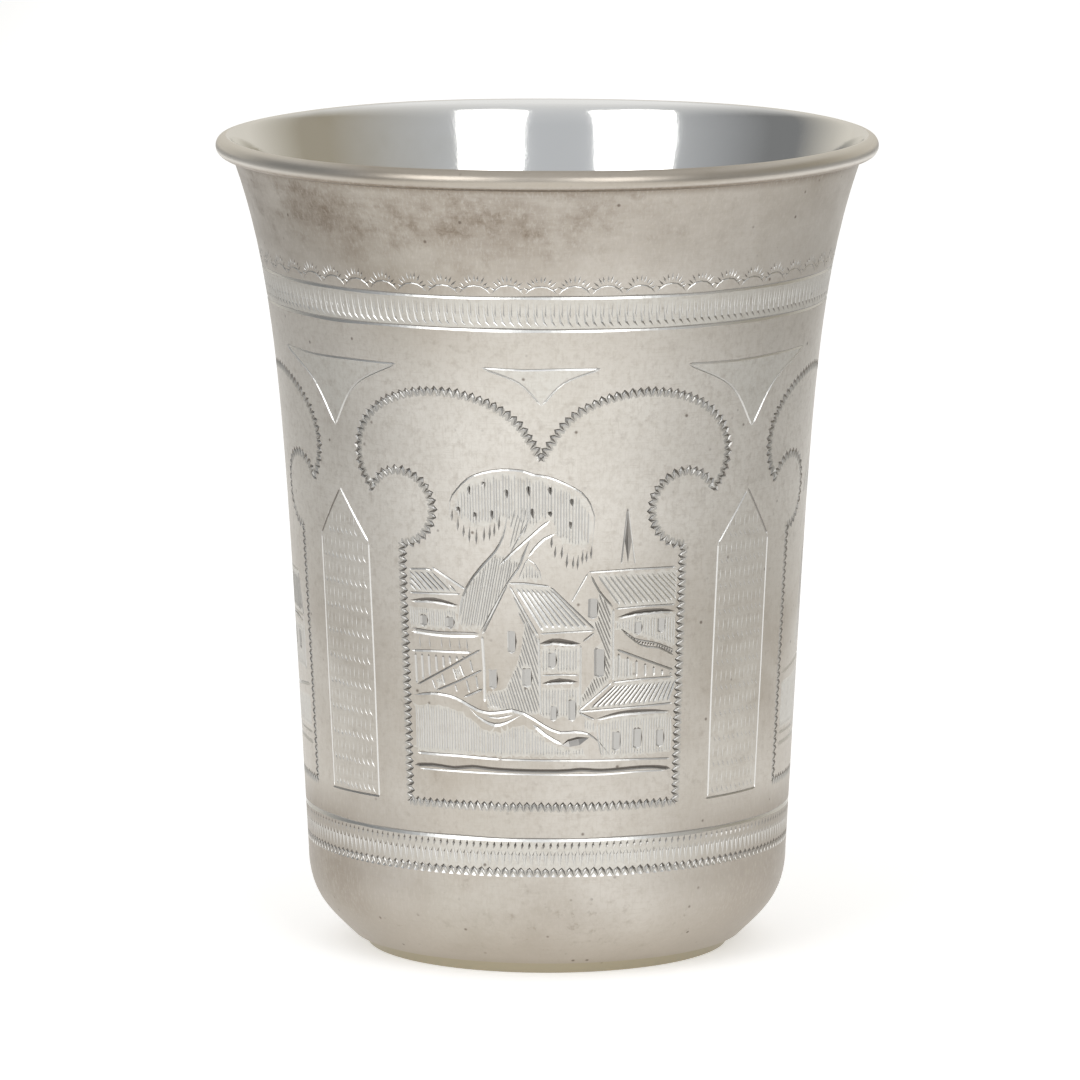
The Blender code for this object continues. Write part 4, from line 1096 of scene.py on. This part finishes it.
patterns = {  # scale, detail and roughness of each noise, and how x, y and z are squeezed first
    "broad": (0.045, 3.0, 0.55, None), "cloudy": (0.16, 5.0, 0.6, None), "mottle": (0.9, 6.0, 0.65, None),
    "streaks": (1.0, 5.0, 0.7, (0.16, 0.16, 0.75)), "smudge": (0.42, 6.0, 0.7, None),
    "grime": (1.7, 5.0, 0.75, None), "fine": (1.0, 4.0, 0.7, (4.2, 4.2, 1.4)),
    "upHairs": (1.0, 2.0, 0.5, (6.5, 6.5, 0.45)), "roundHairs": (1.0, 2.0, 0.5, (0.4, 0.4, 10.0)),
    "upScratches": (1.0, 3.0, 0.5, (3.0, 3.0, 0.35)), "roundScratches": (1.0, 2.0, 0.5, (0.5, 0.5, 9.0)),
    "spotPatches": (0.3, 2.0, 0.55, None), "stain": (0.07, 4.0, 0.55, None),
}


def silverMaterial():
    material = bpy.data.materials.new("agedSilver")
    material.use_nodes = True
    tree = material.node_tree
    tree.nodes.clear()
    start = Wire(tree)
    place = start.make("TexCoord", {}, {}, 3)  # object coordinates, metres
    inMm = start.make("VectorMath", {"operation": "SCALE"}, {0: place, "Scale": 1 / mm})
    across, away, level = inMm.split()
    aside = across.size()

    def colour(name):
        return (*silver[name], 1)

    def noise(name):
        scale, detail, roughness, squeeze = patterns[name]
        vector = inMm
        if squeeze:
            vector = start.make("VectorMath", {"operation": "MULTIPLY"}, {0: inMm, 1: squeeze})
        return start.make("TexNoise", {}, {"Vector": vector, "Scale": scale, "Detail": detail,
                                           "Roughness": roughness})

    def attribute(name):
        return start.make("Attribute", {"attribute_name": name}, {}, 2)

    def rising(name, over=level):
        return over.between(*wearAndPaintedLight[name])

    def falling(name, over=level):
        return 1 - over.between(*wearAndPaintedLight[name])

    cut, tone, inside, worked = (attribute(name) for name in ("cut", "tone", "inside", "worked"))
    facing = start.make("NewGeometry", {}, {}, 3)  # true normal
    facingUp = start.make("SeparateXYZ", {}, {0: facing}, 2)
    cloudy, mottle = noise("cloudy"), noise("mottle")

    # the plain silver: warmer clouds, worn patches, the rubbed middle, a painted sheen on the hatched
    # fields and painted shade on the bands behind the rocked hooks
    body = cloudy.between(0.4, 0.72).blend(colour("plain"), colour("warm"))
    body = noise("broad").between(0.35, 0.6).blend(body, colour("worn"))
    rubbed = rising("rubbedStart") * falling("rubbedEnd") * (0.5 + cloudy.between(0.3, 0.7) * 0.5)
    body = rubbed.blend(body, colour("rubbed"))
    body = (worked.least(1.0) * wearAndPaintedLight["worked"]).blend(body, colour("worked"))
    body = ((worked - 1.0).most(0.0) * wearAndPaintedLight["shadedBand"]).blend(body, colour("shadedBand"))

    # tarnish under the rim and at the heel; painted shade down the lower left and right sides, and painted
    # shade with tarnish in the creases under the bead and above the foot
    leftSide = rising("neckLeft", 0 - across) * falling("neckFront", away)
    smudge = noise("smudge").between(0.5, 0.72)
    streaks = noise("streaks").between(0.35, 0.7)
    blotch = 0.3 + cloudy.between(0.3, 0.7) * 0.5 + streaks * 0.35 + smudge * 0.55
    patchy = wearAndPaintedLight["neckAll"] + leftSide * wearAndPaintedLight["neckLeftMore"]
    patchy = patchy + falling("neckMiddle", aside) * wearAndPaintedLight["neckMiddleMore"]
    neckTarnish = rising("neckStart") * falling("neckEnd") * patchy * blotch
    heel = falling("heelEnd") * cloudy.between(0.42, 0.66)
    flank = falling("flankEnd") * rising("flankSide", aside)
    crease = rising("creaseStart") ** 2.0 * falling("creaseEnd")
    footCrease = rising("footCreaseStart") * falling("footCreaseEnd")
    dirtAndShade = neckTarnish.most(heel * wearAndPaintedLight["heelDirt"]).most(flank * wearAndPaintedLight["flankShade"])
    dirtAndShade = dirtAndShade.most(crease * wearAndPaintedLight["creaseShadeAndTarnish"]).most(footCrease * wearAndPaintedLight["footCreaseShadeAndDirt"])
    dirtAndShade = dirtAndShade.most(mottle.between(0.55, 0.75) * (wearAndPaintedLight["pits"] + heel * wearAndPaintedLight["heelPits"]))
    body = dirtAndShade.blend(body, colour("tarnishAndShade"))

    # grime, fine wear, hairlines and spots
    body = (noise("grime").between(0.45, 0.75) * wearAndPaintedLight["grime"]).blend(body, colour("dull"))
    body = (noise("fine").between(0.5, 0.8) * wearAndPaintedLight["fine"]).blend(body, colour("worn"))
    hairs = noise("upHairs").between(0.6, 0.68).most(noise("roundHairs").between(0.6, 0.68))
    body = (hairs * wearAndPaintedLight["hairs"]).blend(body, colour("dull"))
    body = (falling("lowEnd") * wearAndPaintedLight["low"]).blend(body, colour("base"))
    body = (falling("footEnd") * wearAndPaintedLight["foot"]).blend(body, colour("footTint"))
    specks = start.make("TexVoronoi", {"feature": "F1"}, {"Vector": inMm, "Scale": 0.55,
                                                          "Randomness": 1.0})
    spots = (1 - specks.between(0.05, 0.12)) * noise("spotPatches").between(0.5, 0.6)
    body = (spots * wearAndPaintedLight["spots"]).blend(body, colour("spot"))

    # painted light on the cuts: a painted highlight where they face up and painted shade where they face
    # down, unless their own tone says otherwise
    shade = rising("cutTurn", 0 - facingUp) * wearAndPaintedLight["cutShade"]
    shade = (shade - tone * wearAndPaintedLight["cutTone"]).least(1.0).most(0.0)
    body = (cut * wearAndPaintedLight["cut"]).blend(body, shade.blend(colour("cutHighlight"), colour("cutShade")))
    # painted highlight on the bead's left and right sides, duller across its front
    bead = rising("beadStart") * (1 - inside)
    beadHighlightedSides = rising("beadSide", aside).blend(colour("dull"), colour("beadSideHighlight"))
    body = (bead * wearAndPaintedLight["bead"]).blend(body, beadHighlightedSides)
    stain = noise("stain").between(0.52, 0.7) * wearAndPaintedLight["stain"]
    body = inside.blend(body, stain.blend(colour("inside"), colour("insideStain")))

    scratches = noise("upScratches") * 0.5 + noise("roundScratches") * 0.5
    rough = silver["roughness"] + (cloudy - 0.5) * silver["cloudRoughness"]
    rough = rough + (scratches - 0.5) * silver["scratchRoughness"]
    rough = rough * (1 - cut) + cut * silver["cutRoughness"]
    rough = rough * (1 - bead) + bead * silver["beadRoughness"]
    polished = silver["insideRoughness"] + (cloudy - 0.5) * silver["insideUnevenness"]
    rough = rough * (1 - inside) + inside * polished
    relief = scratches * (1 - inside * 0.7) + mottle * 0.4
    bump = start.make("Bump", {}, {"Strength": silver["reliefStrength"],
                                   "Distance": silver["scratchDepth"] * mm, "Height": relief})
    shader = start.make("BsdfPrincipled", {}, {"Base Color": body, "Metallic": 1.0, "Roughness": rough,
                                               "Normal": bump})
    start.make("OutputMaterial", {}, {"Surface": shader})
    return material


studio = {  # metres for the floor and lamps, mm and degrees for the camera; colours are linear
    "floorColour": (0.92, 0.92, 0.915), "floorEdge": (0.26, 0.26, 0.26), "floorFade": (0.11, 0.27),
    "floorGlow": 0.46, "floorRadius": 6.0, "floorSides": 96, "floorRoughness": 0.9, "floorShine": 0.1,
    "front": (0.49, 0.505, 0.53), "behind": (0.66, 0.63, 0.57), "sky": (0.82, 0.82, 0.82),
    "leftSide": (0.19, 0.195, 0.20), "rightSide": (0.33, 0.30, 0.24),
    # where each colour of the room comes in along its direction
    "sideTurn": (-0.9, 0.9), "frontTurn": (-0.1, 0.8), "behindTurn": (0.35, 0.85), "skyTurn": (0.5, 0.9),
    "softboxes": (  # azimuth from the camera's side, width, height, centre height, distance, radiance
        (25, 0.62, 0.95, 0.62, 1.35, 2.8), (-36, 0.78, 0.95, 0.62, 1.35, 2.8)),
    "softboxAim": 0.04,
    "cameraDistance": 939.0, "cameraElevation": 9.003, "cameraAzimuth": 1.2, "aimHeight": 38.9,
    "focal": 318.6, "sensor": 36.0, "aimAcross": 7.2, "aimDown": 8.8, "imageSize": 1080,
}


def makeFloor():
    bpy.ops.mesh.primitive_circle_add(vertices=studio["floorSides"], radius=studio["floorRadius"],
                                      fill_type="NGON", location=(0, 0, 0))
    floor = bpy.context.object
    floor.name = "studioFloor"
    material = bpy.data.materials.new("studioFloor")
    material.use_nodes = True
    shader = material.node_tree.nodes["Principled BSDF"]
    across = Wire(material.node_tree).make("TexCoord", {}, {}, 3).split()[0]
    edge = across.size().between(*studio["floorFade"])  # greyer far out to the sides
    shade = edge.blend((*studio["floorColour"], 1), (*studio["floorEdge"], 1))
    material.node_tree.links.new(shade.socket, shader.inputs["Base Color"])
    material.node_tree.links.new(shade.socket, shader.inputs["Emission Color"])
    shader.inputs["Emission Strength"].default_value = studio["floorGlow"]
    shader.inputs["Roughness"].default_value = studio["floorRoughness"]
    shader.inputs["Specular IOR Level"].default_value = studio["floorShine"]
    floor.data.materials.append(material)


def makeRoom():
    world = bpy.data.worlds.new("studio")
    bpy.context.scene.world = world
    world.use_nodes = True
    world.node_tree.nodes.clear()
    start = Wire(world.node_tree)
    across, away, up = start.make("TexCoord", {}, {}, 0).split()

    def over(direction, turn, under, colour):
        return direction.between(*studio[turn]).blend(under, (*studio[colour], 1))

    room = over(across, "sideTurn", (*studio["leftSide"], 1), "rightSide")
    room = over(0 - away, "frontTurn", room, "front")
    room = over(away, "behindTurn", room, "behind")
    room = over(up, "skyTurn", room, "sky")
    start.make("OutputWorld", {}, {"Surface": start.make("Background", {},
                                                         {"Color": room, "Strength": 1.0})})


def makeLamps():
    for azimuth, width, tall, centre, distance, radiance in studio["softboxes"]:
        turn = math.radians(azimuth)
        data = bpy.data.lights.new("softbox", "AREA")
        data.shape = "RECTANGLE"
        data.size, data.size_y = width, tall
        data.energy = radiance * math.pi * width * tall
        lamp = bpy.data.objects.new("softbox", data)
        bpy.context.scene.collection.objects.link(lamp)
        lamp.location = (distance * math.sin(turn), -distance * math.cos(turn), centre)
        aim = Vector((0, 0, studio["softboxAim"])) - lamp.location
        lamp.rotation_euler = aim.to_track_quat("-Z", "Y").to_euler()


def makeCamera():
    data = bpy.data.cameras.new("photoCamera")
    camera = bpy.data.objects.new("photoCamera", data)
    bpy.context.scene.collection.objects.link(camera)
    rise, turn = math.radians(studio["cameraElevation"]), math.radians(studio["cameraAzimuth"])
    away = Vector((math.cos(rise) * math.sin(turn), -math.cos(rise) * math.cos(turn), math.sin(rise)))
    aim = Vector((0, 0, studio["aimHeight"] * mm))
    camera.location = aim + away * studio["cameraDistance"] * mm
    camera.rotation_euler = (-away).to_track_quat("-Z", "Y").to_euler()
    data.lens, data.sensor_width = studio["focal"], studio["sensor"]
    data.shift_x = -studio["aimAcross"] / studio["imageSize"]
    data.shift_y = studio["aimDown"] / studio["imageSize"]
    bpy.context.scene.camera = camera


print("stage and camera")
bpy.context.scene.view_settings.view_transform = "Standard"
makeFloor()
makeRoom()
makeLamps()
makeCamera()

print("engraving")
graver = Graver(11)
borders(graver)
for panel in (-periodAlong, 0.0, periodAlong):
    archedFrame(graver, panel)
    spandrel(graver, panel, layout["centreSpandrel"])
villageView(graver, 0.0)
sideView(graver, -periodAlong)
sideView(graver, periodAlong)
for panels in (-1.5, -0.5, 0.5, 1.5):  # between the arched frames
    column(graver, panels * periodAlong)
    spandrel(graver, panels * periodAlong, layout["sideSpandrel"])
reserve(graver)
print(len(graver.cuts), "cuts")

print("beaker mesh")
beakerMesh = buildBeaker(graver.cuts, graver.worked)
beaker = bpy.data.objects.new("engravedBeaker", beakerMesh)
bpy.context.scene.collection.objects.link(beaker)
beakerMesh.materials.append(silverMaterial())
triangles = sum(len(polygon.vertices) - 2 for polygon in beakerMesh.polygons)
print(triangles, "triangles")
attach(beaker, "root")
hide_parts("beaker")
